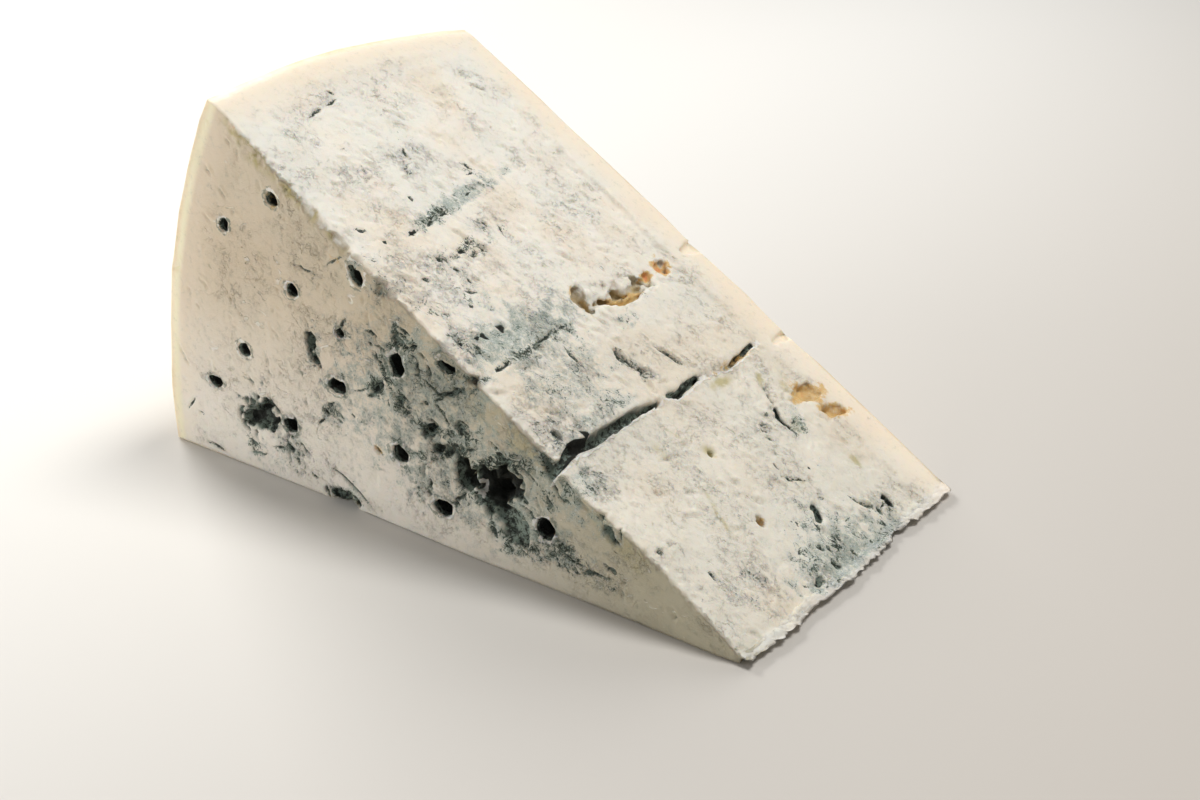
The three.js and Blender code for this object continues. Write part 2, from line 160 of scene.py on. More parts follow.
# Pits in the upper cut: r, v, half-length, half-width, turn in degrees, depth.
UPPER_PITS = [
    (79.4, 38.6, 3.9, 2.2, 12, 3.4),  # the broken hollow along the second needle channel
    (78.6, 44.6, 3.2, 5, 0, 2.6),
    (77.8, 51, 3, 5.6, 6, 2.4),
    (76.2, 56.6, 1.6, 4, 12, 2),
    (75.4, 48.6, 1.1, 6.6, 5, 3.2),
    (78.2, 66.6, 2.1, 2.4, -20, 1.4),
    (77.4, 60.6, 1, 1.6, 20, 1.4),
    (36.4, 69.8, 2.3, 3.8, 14, 1.9),
    (29.4, 72.4, 1.7, 4.2, 24, 1.7),
    (15.4, 43.6, 2, 0.8, 40, 3),
    (13.8, 42.6, 1, 1.3, -10, 2.6),
    (7.8, 63.6, 2.1, 0.7, 8, 2.6),
    (7, 63.2, 0.9, 1.2, 0, 2.6),
    (20.8, 29.9, 1.5, 1, 10, 2.4),
    (37.4, 33.8, 1.5, 0.6, 30, 2.4),
    (7, 58.8, 0.9, 0.8, 0, 2),
    (4.3, 36.8, 0.7, 1.1, 20, 1.6),
    (4.8, 30.6, 0.7, 1.6, 10, 1.2),
]

# Short tears with mould in them, in the upper cut: r, v, half-length, half-width, turn, depth.
UPPER_TEARS = [
    (145.5, 26.3, 1.9, 0.45, 74, 0.5),
    (144.2, 20.5, 2.6, 0.4, 70, 0.4),
    (147.8, 28, 0.8, 0.35, -20, 0.3),
    (127.5, 31.2, 1.5, 0.35, 20, 0.3),
    (124, 28.4, 1.6, 0.4, 75, 0.3),
    (119.4, 43.4, 1.3, 0.45, -30, 0.4),
    (117.6, 42.4, 1.3, 0.4, 80, 0.3),
    (116.2, 22.2, 1, 0.35, 0, 0.3),
    (113.8, 5.6, 1.1, 0.4, -50, 0.4),
    (112.8, 36.6, 1.4, 0.35, 80, 0.2),
    (110.2, 26.6, 1.8, 0.45, 85, 0.4),
    (109.4, 21.4, 1.8, 0.5, 80, 0.4),
    (108.8, 16, 1.6, 0.5, 85, 0.4),
    (102.2, 25.8, 1.2, 0.65, -10, 0.9),
    (100, 27.6, 1.3, 0.65, 10, 0.9),
    (99.2, 24.6, 1.3, 0.65, 70, 0.9),
    (100.6, 22.4, 1.1, 0.55, -60, 0.8),
    (104.6, 33.4, 1, 0.45, 20, 0.4),
    (101.4, 36, 2, 0.35, 12, 0.4),
    (98.2, 9.4, 0.7, 0.55, 0, 0.4),
    (97.4, 17.2, 0.7, 0.5, 0, 0.4),
    (93.6, 17.6, 0.7, 0.45, 0, 0.4),
    (91.4, 15.4, 1.4, 0.4, -50, 0.4),
    (100.8, 15.6, 0.8, 0.5, 0, 0.4),
    (88.6, 12.8, 0.6, 0.4, 0, 0.3),
    (75.6, 22, 3.4, 0.4, 84, 0.4),
    (74.2, 8, 2.4, 0.4, 88, 0.6),
    (69, 24, 2.6, 0.35, 6, 0.7),
    (70.4, 44.6, 0.9, 0.45, 60, 0.4),
    (59.4, 45.8, 3.2, 0.45, -15, 0.9),
    (64.6, 34.4, 1.7, 0.7, 8, 1.2),
    (59.6, 36.2, 1.1, 0.8, 20, 1.2),
    (62.2, 35, 2, 0.4, -8, 0.8),
    (57.4, 5.4, 1.7, 0.4, -8, 0.6),
    (37.2, 54.6, 0.6, 0.45, 0, 0.4),
    (34.8, 50.4, 0.8, 0.55, 0, 0.6),
    (32.8, 49.6, 0.8, 0.4, 0, 0.5),
    (27.8, 2.8, 0.6, 0.75, 0, 0.5),
    (27.4, 44.4, 1, 0.25, 0, 0.3),
    (23.9, 44.5, 0.7, 0.45, 0, 0.5),
    (22.7, 46.2, 2, 0.24, -54, 0.4),
    (22.9, 51.5, 0.5, 0.3, 0, 0.3),
    (18.4, 8.8, 1.1, 0.45, -10, 0.5),
    (16, 36.7, 1.1, 0.32, 10, 0.5),
    (13, 40.6, 2, 0.36, 15, 0.6),
    (11.4, 31.5, 0.6, 0.45, 0, 0.4),
    (10.2, 56.1, 3.1, 0.46, -33, 1),
    (10, 48.6, 0.9, 0.3, 80, 0.4),
    (9.4, 36.4, 1.2, 0.42, -30, 0.6),
    (8.2, 42.4, 0.8, 0.3, 0, 0.4),
    (7.8, 38.3, 1.1, 0.36, 15, 0.5),
    (7.6, 60.8, 1.5, 0.32, 78, 0.6),
    (6.4, 47.1, 1.2, 0.36, -32, 0.5),
    (5.6, 26.4, 0.8, 0.32, -40, 0.5),
    (5.2, 36.3, 1.3, 0.46, 15, 0.9),
    (5.5, 37.6, 0.8, 0.32, 60, 0.6),
    (4.4, 29.8, 1.2, 0.5, 85, 0.8),
    (4.4, 42.8, 0.9, 0.32, 0, 0.4),
    (3.6, 49.3, 0.6, 0.3, 30, 0.4),
    (2.9, 29, 0.7, 0.32, 60, 0.5),
    (2.4, 32.6, 0.9, 0.36, 84, 0.5),
    (2, 48.9, 0.9, 0.4, 86, 0.5),
    (2.8, 54.4, 1.2, 0.32, 70, 0.4),
]

# The same in the halving cut: distance from the thin end, height, then as above.
HALVING_TEARS = [
    (148, 10.4, 2.4, 0.35, -50, 0.3),
    (145.2, 9, 1, 0.3, 20, 0.3),
    (141, 1.8, 2.6, 0.4, 10, 0.3),
    (98.4, 55.3, 2.4, 0.35, -30, 0.3),
    (107, 51.4, 2.8, 0.35, 10, 0.3),
    (97.6, 42.2, 1.8, 0.35, -52, 0.5),
    (106.3, 18, 1.7, 0.3, -32, 0.4),
    (104.6, 20.6, 1, 0.6, 15, 0.6),
    (103.2, 22.9, 1.1, 0.32, -20, 0.4),
    (100.9, 19.9, 1.1, 0.32, 35, 0.4),
    (96.9, 21.9, 0.5, 0.4, 0, 0.4),
    (89.7, 42.2, 1.5, 0.42, 15, 0.6),
    (90.4, 39.8, 0.6, 0.45, 0, 0.5),
    (87.4, 39.6, 1.4, 0.5, 12, 0.5),
    (88.3, 36.8, 1.6, 0.4, 52, 0.6),
    (83.4, 41.4, 1.4, 0.44, 58, 0.7),
    (83.7, 43.2, 1.2, 0.44, -54, 0.7),
    (81.9, 42.3, 1.8, 0.48, 30, 0.7),
    (81.6, 43.7, 1.7, 0.44, 18, 0.6),
    (80.8, 44.8, 1.4, 0.4, 22, 0.5),
    (79, 41.8, 1.2, 0.6, -45, 0.7),
    (76.5, 40.7, 1.4, 0.38, 32, 0.5),
    (79, 39.9, 1.1, 0.38, 28, 0.5),
    (78.5, 36.2, 1.2, 0.48, -42, 0.7),
    (77.9, 38, 1.3, 0.48, 85, 0.7),
    (75.2, 38.4, 1, 0.42, 55, 0.5),
    (74.2, 34.6, 2.1, 0.44, 34, 0.8),
    (70.7, 33.8, 2.4, 0.6, -13, 0.6),
    (72.7, 32.6, 1.3, 0.38, -20, 0.5),
    (68, 35.4, 1.9, 0.66, -28, 0.6),
    (76.4, 30.6, 0.8, 0.5, 0, 0.6),
    (72.6, 30.5, 1.3, 0.4, 30, 0.5),
    (71.2, 28.7, 1.3, 0.44, 70, 0.5),
    (89.6, 30, 3, 0.9, -44, 0.5),
    (94, 28.6, 2.6, 0.36, -20, 0.4),
    (86.5, 28.1, 0.9, 0.38, 80, 0.4),
    (83, 28.7, 3.2, 0.46, 37, 0.7),
    (82.8, 29.8, 1.3, 0.9, 0, 0.4),
    (81.4, 27.2, 1, 0.8, 0, 0.5),
    (62.8, 39.4, 1.9, 0.5, -18, 0.6),
    (66.6, 29.2, 1.3, 0.36, 12, 0.4),
    (68.4, 28.4, 1, 0.38, -58, 0.4),
    (67.6, 26.8, 1.3, 0.38, 15, 0.4),
    (65.4, 27.7, 1, 0.36, 75, 0.4),
    (59.2, 26.4, 1.7, 0.44, 28, 0.6),
    (57.9, 25.2, 1.1, 0.55, 10, 0.7),
    (65.6, 23.9, 2.6, 0.55, -6, 0.6),
    (51.6, 22.9, 2.3, 0.46, 28, 0.6),
    (54.2, 22.6, 1.4, 0.44, 42, 0.5),
    (52.8, 18, 2.1, 0.55, 44, 0.6),
    (68.2, 12.6, 2.3, 0.5, -52, 0.6),
    (69.6, 10.6, 1.4, 0.5, 0, 0.6),
    (61, 11, 1.3, 0.38, 70, 0.6),
    (60.2, 7.3, 1.6, 0.7, 62, 0.4),
    (53, 6, 2, 0.44, 37, 0.7),
    (51, 14.7, 2.2, 0.42, 25, 0.8),
    (46.4, 18.4, 2, 0.7, 52, 0.5),
    (43.4, 20.3, 1.8, 0.5, 8, 0.7),
    (37.4, 22.8, 2.7, 0.62, 42, 0.6),
    (38.3, 27, 1.4, 0.38, 19, 0.5),
    (36, 27.5, 1.6, 0.38, -38, 0.5),
    (34.3, 19.7, 0.9, 0.8, 0, 0.7),
    (31.8, 19.4, 1.4, 0.44, 25, 0.6),
    (30.3, 17.4, 1.2, 0.44, 80, 0.6),
    (31.4, 15.4, 1.3, 0.44, 15, 0.6),
    (41.4, 8.2, 3.2, 0.44, 14, 0.6),
    (36, 6.6, 2.8, 0.6, -8, 0.6),
    (42.4, 6, 0.9, 0.42, 58, 0.5),
    (32.2, 9.2, 1.6, 0.6, 26, 0.6),
    (24, 17, 1.8, 0.4, -30, 0.5),
    (76, 13.4, 1.2, 0.5, 80, 0.6),
    (128.7, 6.5, 1.3, 0.5, 18, 0.7),
    (127.4, 4, 2.8, 0.36, -14, 0.4),
    (120.5, 7.6, 1.9, 0.44, -12, 0.5),
    (117, 8.6, 1.7, 0.8, 50, 0.4),
    (114.8, 6.2, 0.9, 0.65, 40, 0.5),
    (112.4, 10, 1.9, 0.36, 36, 0.4),
    (109.8, 4.1, 0.9, 0.4, 10, 0.4),
    (124, 17.3, 2.6, 0.38, -30, 0.4),
    (120.8, 17.6, 1.4, 0.38, 42, 0.4),
    (98.7, 5, 5.2, 0.42, 30, 0.6),
    (90.2, 16.4, 1.4, 0.55, 20, 0.6),
]

# Cracks in the upper cut: a path of r, v and half-width, then the depth, then how dark they are painted
# inside, with mould and, deeper in, painted shade.
UPPER_CRACKS = [
    ((
        (51.4, -4, 0.8), (52, 2, 0.9), (53, 6, 1.3), (52.5, 14, 1.2),
        (52.9, 22, 1.1), (52.5, 29, 0.8), (52.1, 34, 0.4),
    ), 3.9, 0.32),
    (((52.4, 36, 0.4), (51.6, 40, 0.85), (51.9, 45, 0.8), (52.1, 50, 0.4)), 4, 1.3),
    (((52.1, 50, 0.4), (50.5, 57, 0.5), (51, 63, 0.6), (51.9, 69.5, 0.55)), 3, 1.9),
    (((31.6, 57.2, 0.6), (34.6, 56.6, 0.7), (38.6, 59.2, 0.45), (43, 61.6, 0.4)), 2.8, 1.1),
]

# The web in the great cavity: a path of distance from the thin end, height and half-width.
CAVITY_WEB = ((63.6, 13.8, 0.05), (64.6, 16, 0.1), (65.3, 18, 0.1), (65.8, 21, 0.05))

# Needle channels laid open through the rind along the upper cut: r, where each begins, radius.
RIND_NOTCHES = [
    (78.6, 74.6, 1.8),
    (49.5, 74.2, 1.3),
]

# Loose paste left standing in hollows: r, v, h, then half-sizes along those three.
STANDING_LUMPS = [
    (80, 42.6, -0.4, 2.2, 2.4, 1.3),
    (78.8, 46.4, -0.6, 2, 2.8, 1.2),
    (80.4, 49.4, -0.3, 1.6, 2.6, 1.2),
    (78.6, 52.8, -0.6, 1.8, 2.4, 1.2),
    (36.6, 62, -0.1, 3, 2.2, 1.3),
    (34.4, 60, -0.3, 1.6, 1.5, 1.1),
]

# Hollows with hardly any mould in them: r, v, half-length, half-width, turn, share kept clean.
CLEAN_HOLLOWS = [
    (78.2, 48, 7, 16, 0, 1),
    (78.2, 66.6, 4, 4.6, 0, 1),
    (36.4, 69.8, 4.4, 6, 0, 1),
    (29.4, 72.4, 4, 7, 20, 1),
    (20.6, 29.8, 3, 3, 0, 1),
    (38, 34, 3, 3, 0, 0.8),
    (78.6, 79, 5, 6, 0, 1),
    (49.5, 79, 4, 6, 0, 1),
]

# ---------------------------------------------------------------- where mould and stains lie

# Mould on the upper cut: r, v, half-length, half-width, turn in degrees, stain, specks.
UPPER_MOULD = [
    (112.4, 33, 20, 2.9, 80, 0.96, 0.46),  # the blue-grey streak
    (110.2, 22, 8.5, 1.7, 82, 0.7, 0.58),
    (118.6, 42.6, 3.4, 1.8, -40, 0.45, 0.5),
    (100.2, 25.4, 3.4, 3.8, 0, 0.6, 0.5),
    (104, 32, 3.2, 3.4, 0, 0.42, 0.46),
    (101, 36.4, 3.2, 1.4, 30, 0.32, 0.36),
    (146.4, 26, 2.4, 0.8, 62, 0.38, 0.5),
    (144, 20, 3, 0.7, 68, 0.3, 0.42),
    (130, 35, 4, 2.6, 0, 0.32, 0.36),
    (124.6, 29, 3.4, 2.6, 20, 0.38, 0.44),
    (126, 16, 3.4, 3.6, 0, 0.32, 0.34),
    (132, 19, 2.4, 1.6, 0, 0.26, 0.34),
    (95, 15, 9, 6.5, 0, 0.44, 0.38),
    (103, 4, 6, 4, 0, 0.44, 0.44),
    (78.6, 18, 19, 5.6, 88, 0.94, 0.12),  # the pale blue path below the broken hollow
    (72, 18, 13, 15, 0, 0.52, 0.22),
    (75, 18, 13, 0.9, 87, 0.45, 0.56),
    (74.3, 6, 6, 0.9, 86, 0.5, 0.62),
    (83, 5, 4, 4, 0, 0.62, 0.54),
    (92, 4, 5, 3, 0, 0.44, 0.42),
    (70.4, 44.4, 2.2, 3.4, 0, 0.7, 0.36),
    (73.6, 55, 1.4, 3, 0, 0.44, 0.3),
    (60, 45.8, 6, 1.1, -10, 0.34, 0.46),
    (62, 35, 5, 1.3, -6, 0.36, 0.44),
    (58.6, 37, 1.6, 1.8, 0, 0.4, 0.5),
    (63, 20, 9, 15, 0, 0.46, 0.24),
    (56.4, 18, 15, 2.4, 88, 0.6, 0.26),
    (57, 4, 5, 3, 0, 0.5, 0.44),
    (45.6, 3.2, 5.4, 4.4, 0, 0.85, 0.5),
    (34, 51, 4, 1.4, 0, 0.3, 0.5),
    (36, 45, 2.4, 1.6, -60, 0.24, 0.3),
    (24, 46, 2, 1.2, -54, 0.25, 0.36),
    (22, 56, 3, 3.4, 0, 0.34, 0.2),
    (33.6, 60, 5.4, 5.4, 0, 0.55, 0.26),
    (31.4, 59, 2.2, 2.4, 0, 0.85, 0.8),
    (5.5, 41, 6.5, 17, 0, 0.98, 0.32),  # the teal end
    (9, 35, 5.5, 8, 0, 0.6, 0.46),
    (13, 42, 7, 6, 20, 0.52, 0.34),
    (8, 60, 3.6, 4.6, 0, 0.6, 0.4),
    (2.4, 53, 3.6, 9, 0, 0.85, 0.44),
    (18, 9, 1.6, 1, 0, 0.2, 0.5),
    (13, 14, 6, 6, 0, 0.4, 0.32),
    (27.6, 2.6, 1.4, 1, 0, 0.4, 0.6),
    (30, 20, 6, 3, 10, 0.2, 0.16),
    (60, 25, 30, 24, 0, 0.24, 0.04),
    (106, 20, 22, 20, 0, 0.2, 0.05),
    (12, 38, 14, 24, 0, 0.32, 0.06),
]

# Mould on the halving cut: distance from the thin end, height, then as above.
HALVING_MOULD = [
    (81.4, 42.4, 5, 3.8, 25, 0.9, 0.66),
    (83, 36.4, 5.6, 5.4, 0, 0.9, 0.5),
    (72.4, 35.4, 6, 4.8, 0, 0.84, 0.52),
    (89.8, 30, 4.2, 2, -42, 0.86, 0.8),
    (83.2, 28.8, 4.6, 2.2, 32, 0.8, 0.62),
    (101, 27.6, 4, 2.8, 0, 0.62, 0.2),
    (107.2, 34, 2.6, 4.8, 8, 0.82, 0.5),
    (103.4, 20.8, 3.6, 2.4, -30, 0.6, 0.5),
    (78, 15.4, 1.9, 7, 4, 0.7, 0.7),
    (75.2, 24.4, 3, 2.6, 0, 0.94, 0.8),
    (71.6, 21.8, 4.6, 2, -14, 0.94, 0.8),
    (61.5, 18.4, 9, 7, 14, 1, 0.86),
    (55, 10.8, 7.4, 5.6, 10, 1, 0.66),
    (45, 9.2, 5, 4, 15, 0.8, 0.7),
    (38, 7.2, 7, 2.4, 8, 0.6, 0.62),
    (32, 17.6, 2.8, 3.2, -28, 0.9, 0.72),
    (45.4, 26, 2.8, 4.8, -24, 0.94, 0.9),
    (40, 25, 5.4, 4.2, 30, 0.86, 0.3),
    (46.2, 18.6, 1.6, 2.8, -30, 0.7, 0.6),
    (67.4, 28, 2.8, 2.2, 0, 0.9, 0.5),
    (61, 24.8, 12, 2.8, 6, 0.72, 0.7),
    (125.8, 14, 6.8, 4.8, -8, 0.96, 0.42),
    (116, 9.4, 5.4, 3.2, 0, 0.72, 0.56),
    (128, 6, 3.2, 3.2, 0, 0.62, 0.6),
    (120, 4.4, 8.4, 3.4, -6, 0.56, 0.38),
    (116, 14.2, 3.8, 3.2, 0, 0.62, 0.26),
    (101.6, 1.6, 5, 2.4, 6, 0.9, 0.8),
    (98.6, 4.4, 4, 1.8, 30, 0.7, 0.4),
    (86, 53.4, 2.8, 2.8, -60, 0.8, 0.7),
    (92.5, 55.6, 2.8, 3.2, 0, 0.86, 0.5),
    (98.5, 40, 2.4, 2, 0, 0.6, 0.5),
    (130.2, 56.3, 2.2, 2.2, 0, 0.8, 0.5),
    (128.2, 29.4, 2.8, 2.8, 0, 0.44, 0.44),
    (139, 18.6, 3.2, 2, 0, 0.4, 0.4),
    (84, 17.4, 3.2, 3, 0, 0.56, 0.26),
    (73, 9, 3.6, 2.8, 0, 0.6, 0.34),
    (63.2, 39.4, 2.8, 1.6, 0, 0.66, 0.6),
    (70, 40.9, 3.4, 2.6, 0, 0.6, 0.34),
    (76, 33, 24, 18, -8, 0.8, 0.22),
    (56, 18, 24, 14, -10, 0.78, 0.28),
    (93, 22, 20, 12, -8, 0.46, 0.12),
]

# Warm stains, and the painted shade along the halving cut's upper edge. Each has the same five numbers of
# place and size, then its strength.
UPPER_RUST = [
    (78.2, 66.6, 2.6, 2.9, 0, 1),
    (77.6, 60.6, 1.2, 2.4, 8, 0.9),
    (75.8, 50, 1.3, 8, 6, 0.62),
    (79.4, 38, 4.6, 1.8, 10, 0.55),
    (36.4, 70, 3.4, 6, 14, 0.66),
    (29.4, 73, 2.6, 4.8, 24, 0.62),
    (51, 63, 1, 7.5, 4, 0.48),
    (50.8, 53, 0.8, 3.4, 4, 0.45),
    (20.6, 29.8, 1.4, 1.2, 0, 0.62),
]
UPPER_OLIVE = [
    (44, 61.6, 2.2, 0.9, 30, 0.9),
    (38, 34, 1.5, 1.2, 0, 0.9),
    (48.6, 52.4, 1.3, 3.4, 8, 0.9),
    (22.2, 46.8, 1.6, 0.5, -54, 0.8),
    (46, 29.4, 3.4, 0.7, -30, 0.7),
    (27, 22.6, 5, 0.6, 20, 0.8),
    (18, 65, 1.6, 0.9, 0, 0.8),
    (38.4, 66, 2.4, 1.4, 0, 0.6),
    (31.6, 60.4, 2, 2.4, 0, 0.7),
    (44, 24, 2, 1, 0, 0.4),
]
# Along the halving cut's upper edge: olive tint and painted shade under the edge and between its crumbs.
HALVING_OLIVE_SHADE = [
    (119, 73.4, 6, 1.8, 32, 1),
    (108, 66.8, 5.5, 1.5, 32, 0.8),
    (99, 61, 5, 1.4, 32, 0.4),
    (64, 36.6, 10, 4, 32, 0.28),
    (52, 29, 7, 3, 32, 0.36),
    (30, 15.6, 8, 2.4, 32, 0.36),
]
HALVING_RUST = [
    (90.2, 16.5, 1.6, 1.4, 0, 0.5),
    (114.8, 64.6, 2.4, 2.2, 0, 0.35),
    (99, 56, 2.4, 0.8, 28, 0.4),
]

# ---------------------------------------------------------------- noise


def lattice(i, j, seed):
    """A repeatable value from 0 to 1 for each whole-numbered place."""
    s = np.sin(i * 127.1 + j * 311.7 + seed * 74.7) * 43758.5453
    return s - np.floor(s)


def noise(x, y, seed):
    """Smooth noise from -1 to 1, one cell for each unit."""
    i, j = np.floor(x), np.floor(y)
    u = (x - i) ** 2 * (3 - 2 * (x - i))
    w = (y - j) ** 2 * (3 - 2 * (y - j))
    near = lattice(i, j, seed) * (1 - u) + lattice(i + 1, j, seed) * u
    far = lattice(i, j + 1, seed) * (1 - u) + lattice(i + 1, j + 1, seed) * u
    return 2 * (near * (1 - w) + far * w) - 1


def noise3(points, cell, seed):
    """The same in space, for an array of points."""
    q = points / cell
    k = np.floor(q[:, 2])
    t = q[:, 2] - k
    t = t * t * (3 - 2 * t)
    shift = 37.3 * k
    low = noise(q[:, 0] + shift, q[:, 1] - shift, seed)
    high = noise(q[:, 0] + shift + 37.3, q[:, 1] - shift - 37.3, seed)
    return low * (1 - t) + high * t


def fade(x, start, stop):
    """From 0 to 1 as x goes from start to stop."""
    t = np.clip((x - start) / (stop - start), 0, 1)
    return t * t * (3 - 2 * t)


def within(x, start, stop, soft):
    """1 between start and stop, with soft ends, and 0 elsewhere."""
    return fade(x, start - soft, start + soft) * (1 - fade(x, stop - soft, stop + soft))


# ---------------------------------------------------------------- the wedge's surfaces


def flat_face(away):
    return HALF_HEIGHT - FLAT_FACE_FALL * (np.maximum(0, away) / RIM_RADIUS_AT_FLAT) ** 1.5


def rim_radius(y):
    """The wheel's radius at a height y along its axis, before its shoulder is rounded."""
    t = np.clip(y / flat_face(RIM_RADIUS_AT_FLAT), 0, 1)
    side = RIM_RADIUS_AT_HALVING + (RIM_RADIUS_AT_FLAT - RIM_RADIUS_AT_HALVING) * t
    return side + SIDE_SWELL * np.sin(np.pi * t)


CRAG_LAYERS = [(0.6, 30, 24), (0.22, 10, 8), (0.08, 4.6, 3.8)]
TORN_AWAY = 0.4
SLUMP = 1.1
CRACK_RADIUS = 52.0
SLUMP_LENGTH = 26.0
SLUMP_WIDTH = 56.0
EDGE_CRUMBLE = 0.25
CHIPPED_EDGE = (97.0, 126.0)
CHIP_DEPTH = 0.9
EDGE_WIDTH = 1.5


def smooth_band(r, v):
    """1 in the smooth paste under the rind and 0 in the torn paste."""
    under_rind = rim_radius(v) - RIND_BAND
    wander = 0.8 * noise(r / 6, 2.5, 71) + 0.5 * noise(r / 2.2, 2.5, 72)
    along_flat = fade(v + wander, HALF_HEIGHT - RIND_BAND - 1.2, HALF_HEIGHT - RIND_BAND + 0.2)
    return np.maximum(along_flat, fade(r + 2 * wander, under_rind - 3, under_rind + 3))


def crag_height(r, v):
    """How far the torn upper cut stands off its plane, with the relief that is larger than flakes."""
    under_rind = rim_radius(v) - RIND_BAND
    band = smooth_band(r, v)
    crags = -TORN_AWAY
    for layer, (height, length, width) in enumerate(CRAG_LAYERS):
        crags = crags + height * noise(r / length, v / width, 11 + layer)
    slumped = (
        -SLUMP
        * (1 - fade(r, CRACK_RADIUS - 1, CRACK_RADIUS + 0.8))
        * fade(r, CRACK_RADIUS - SLUMP_LENGTH, CRACK_RADIUS)
        * (1 - fade(v, SLUMP_WIDTH - 12, SLUMP_WIDTH + 12))
    )
    rounded_rind = -0.05 * np.maximum(0, r - rim_radius(v) + 4) ** 2
    rounded_shoulder = -0.12 * np.maximum(0, v - flat_face(r) + 2) ** 2
    crumble = EDGE_CRUMBLE * (1 - fade(r, under_rind - 4, under_rind + 4))
    lost = crumble + CHIP_DEPTH * within(r, *CHIPPED_EDGE, 3)
    uneven = 1 + noise(r / 3.4, 5, 14) + 0.9 * noise(r / 1.2, 5, 15)
    crumbled = -lost * uneven * (1 - fade(v, 0, EDGE_WIDTH))
    return crags * (1 - band) + slumped + rounded_rind + rounded_shoulder + crumbled


def flake_height(r, v):
    """The flaky relief of the torn paste, finer than the crags: low scarps, wrinkles and grain."""
    warp_r = r + 1.8 * noise(r / 7, v / 7, 21) + 0.7 * noise(r / 2.2, v / 2.2, 29)
    warp_v = v + 1.8 * noise(r / 7, v / 7, 22) + 0.7 * noise(r / 2.2, v / 2.2, 30)
    layers = noise(warp_r / 9, warp_v / 8, 23) + 0.6 * noise(warp_r / 3.4, warp_v / 3, 24)
    steps = layers * 1.9
    scarps = np.floor(steps) + fade(steps - np.floor(steps), 0.80, 0.97)
    flaky = fade(noise(r / 16, v / 11, 25), -0.35, 0.45)
    wrinkles = 0.09 * noise(warp_r / 2, warp_v / 1.6, 26) + 0.09 * noise(warp_r / 1.1, warp_v / 0.9, 27)
    grain = 0.06 * noise(r / 0.9, v / 0.8, 28)
    return 0.24 * (scarps - layers * 1.5) * flaky + wrinkles * (0.3 + 0.8 * flaky) + grain


def thin_end_reach(y):
    """How far the thin end stands out past X = 0, torn along the paste and smooth at the rind."""
    torn = 0.2 + 0.9 * noise(y / 7, 0, 3) + 0.5 * noise(y / 2.9, 0, 4) + 0.35 * noise(y / 1.2, 0, 5)
    smooth = THIN_END_REACH - THIN_END_ROUNDING * fade(y, HALF_HEIGHT - 3, HALF_HEIGHT + 1.5)
    share = fade(y, HALF_HEIGHT - RIND_BAND - 12, HALF_HEIGHT - RIND_BAND - 4)
    return torn * (1 - share) + smooth * share


# ---------------------------------------------------------------- modelling helpers


def placed(points):
    """Points in the wedge's own millimetres, as metres in the shared frame."""
    return (np.asarray(points, float) - ORIGIN) * MM


def on_upper_cut(r, v, h):
    r, v, h = np.broadcast_arrays(r, v, h)
    return r[..., None] * UP_SLOPE + h[..., None] * OUT_OF_CUT + v[..., None] * np.array([0, 1.0, 0])


def raw_points(piece):
    flat = np.empty(len(piece.data.vertices) * 3)
    piece.data.vertices.foreach_get("co", flat)
    return flat.reshape(-1, 3)


def mesh_points(piece):
    """A mesh's points in the wedge's own millimetres."""
    return raw_points(piece) / MM + ORIGIN


def set_mesh_points(piece, points):
    piece.data.vertices.foreach_set("co", placed(points).ravel())
    piece.data.update()


def mesh_normals(piece):
    flat = np.empty(len(piece.data.vertices) * 3)
    piece.data.vertex_normals.foreach_get("vector", flat)
    return flat.reshape(-1, 3)


def deselect_all():
    for piece in bpy.context.selected_objects:
        piece.select_set(False)


def activate(piece):
    deselect_all()
    piece.select_set(True)
    bpy.context.view_layer.objects.active = piece


def apply_modifiers(piece):
    activate(piece)
    for modifier in list(piece.modifiers):
        bpy.ops.object.modifier_apply(modifier=modifier.name)


def subdivide(piece, cuts):
    activate(piece)
    bpy.ops.object.mode_set(mode="EDIT")
    bpy.ops.mesh.select_all(action="SELECT")
    bpy.ops.mesh.subdivide(number_cuts=cuts)
    bpy.ops.object.mode_set(mode="OBJECT")


def cut_away(body, cutter):
    boolean = body.modifiers.new("cut", "BOOLEAN")
    boolean.operation = "DIFFERENCE"
    boolean.solver = "MANIFOLD"
    boolean.object = cutter
    apply_modifiers(body)
    bpy.data.objects.remove(cutter)


# ---------------------------------------------------------------- the blank


SPIN_AXIS_X = 1.5  # the two long cuts meet this far past the thin end
SPIN_STEPS = 40
SWELL_CUTS = 30


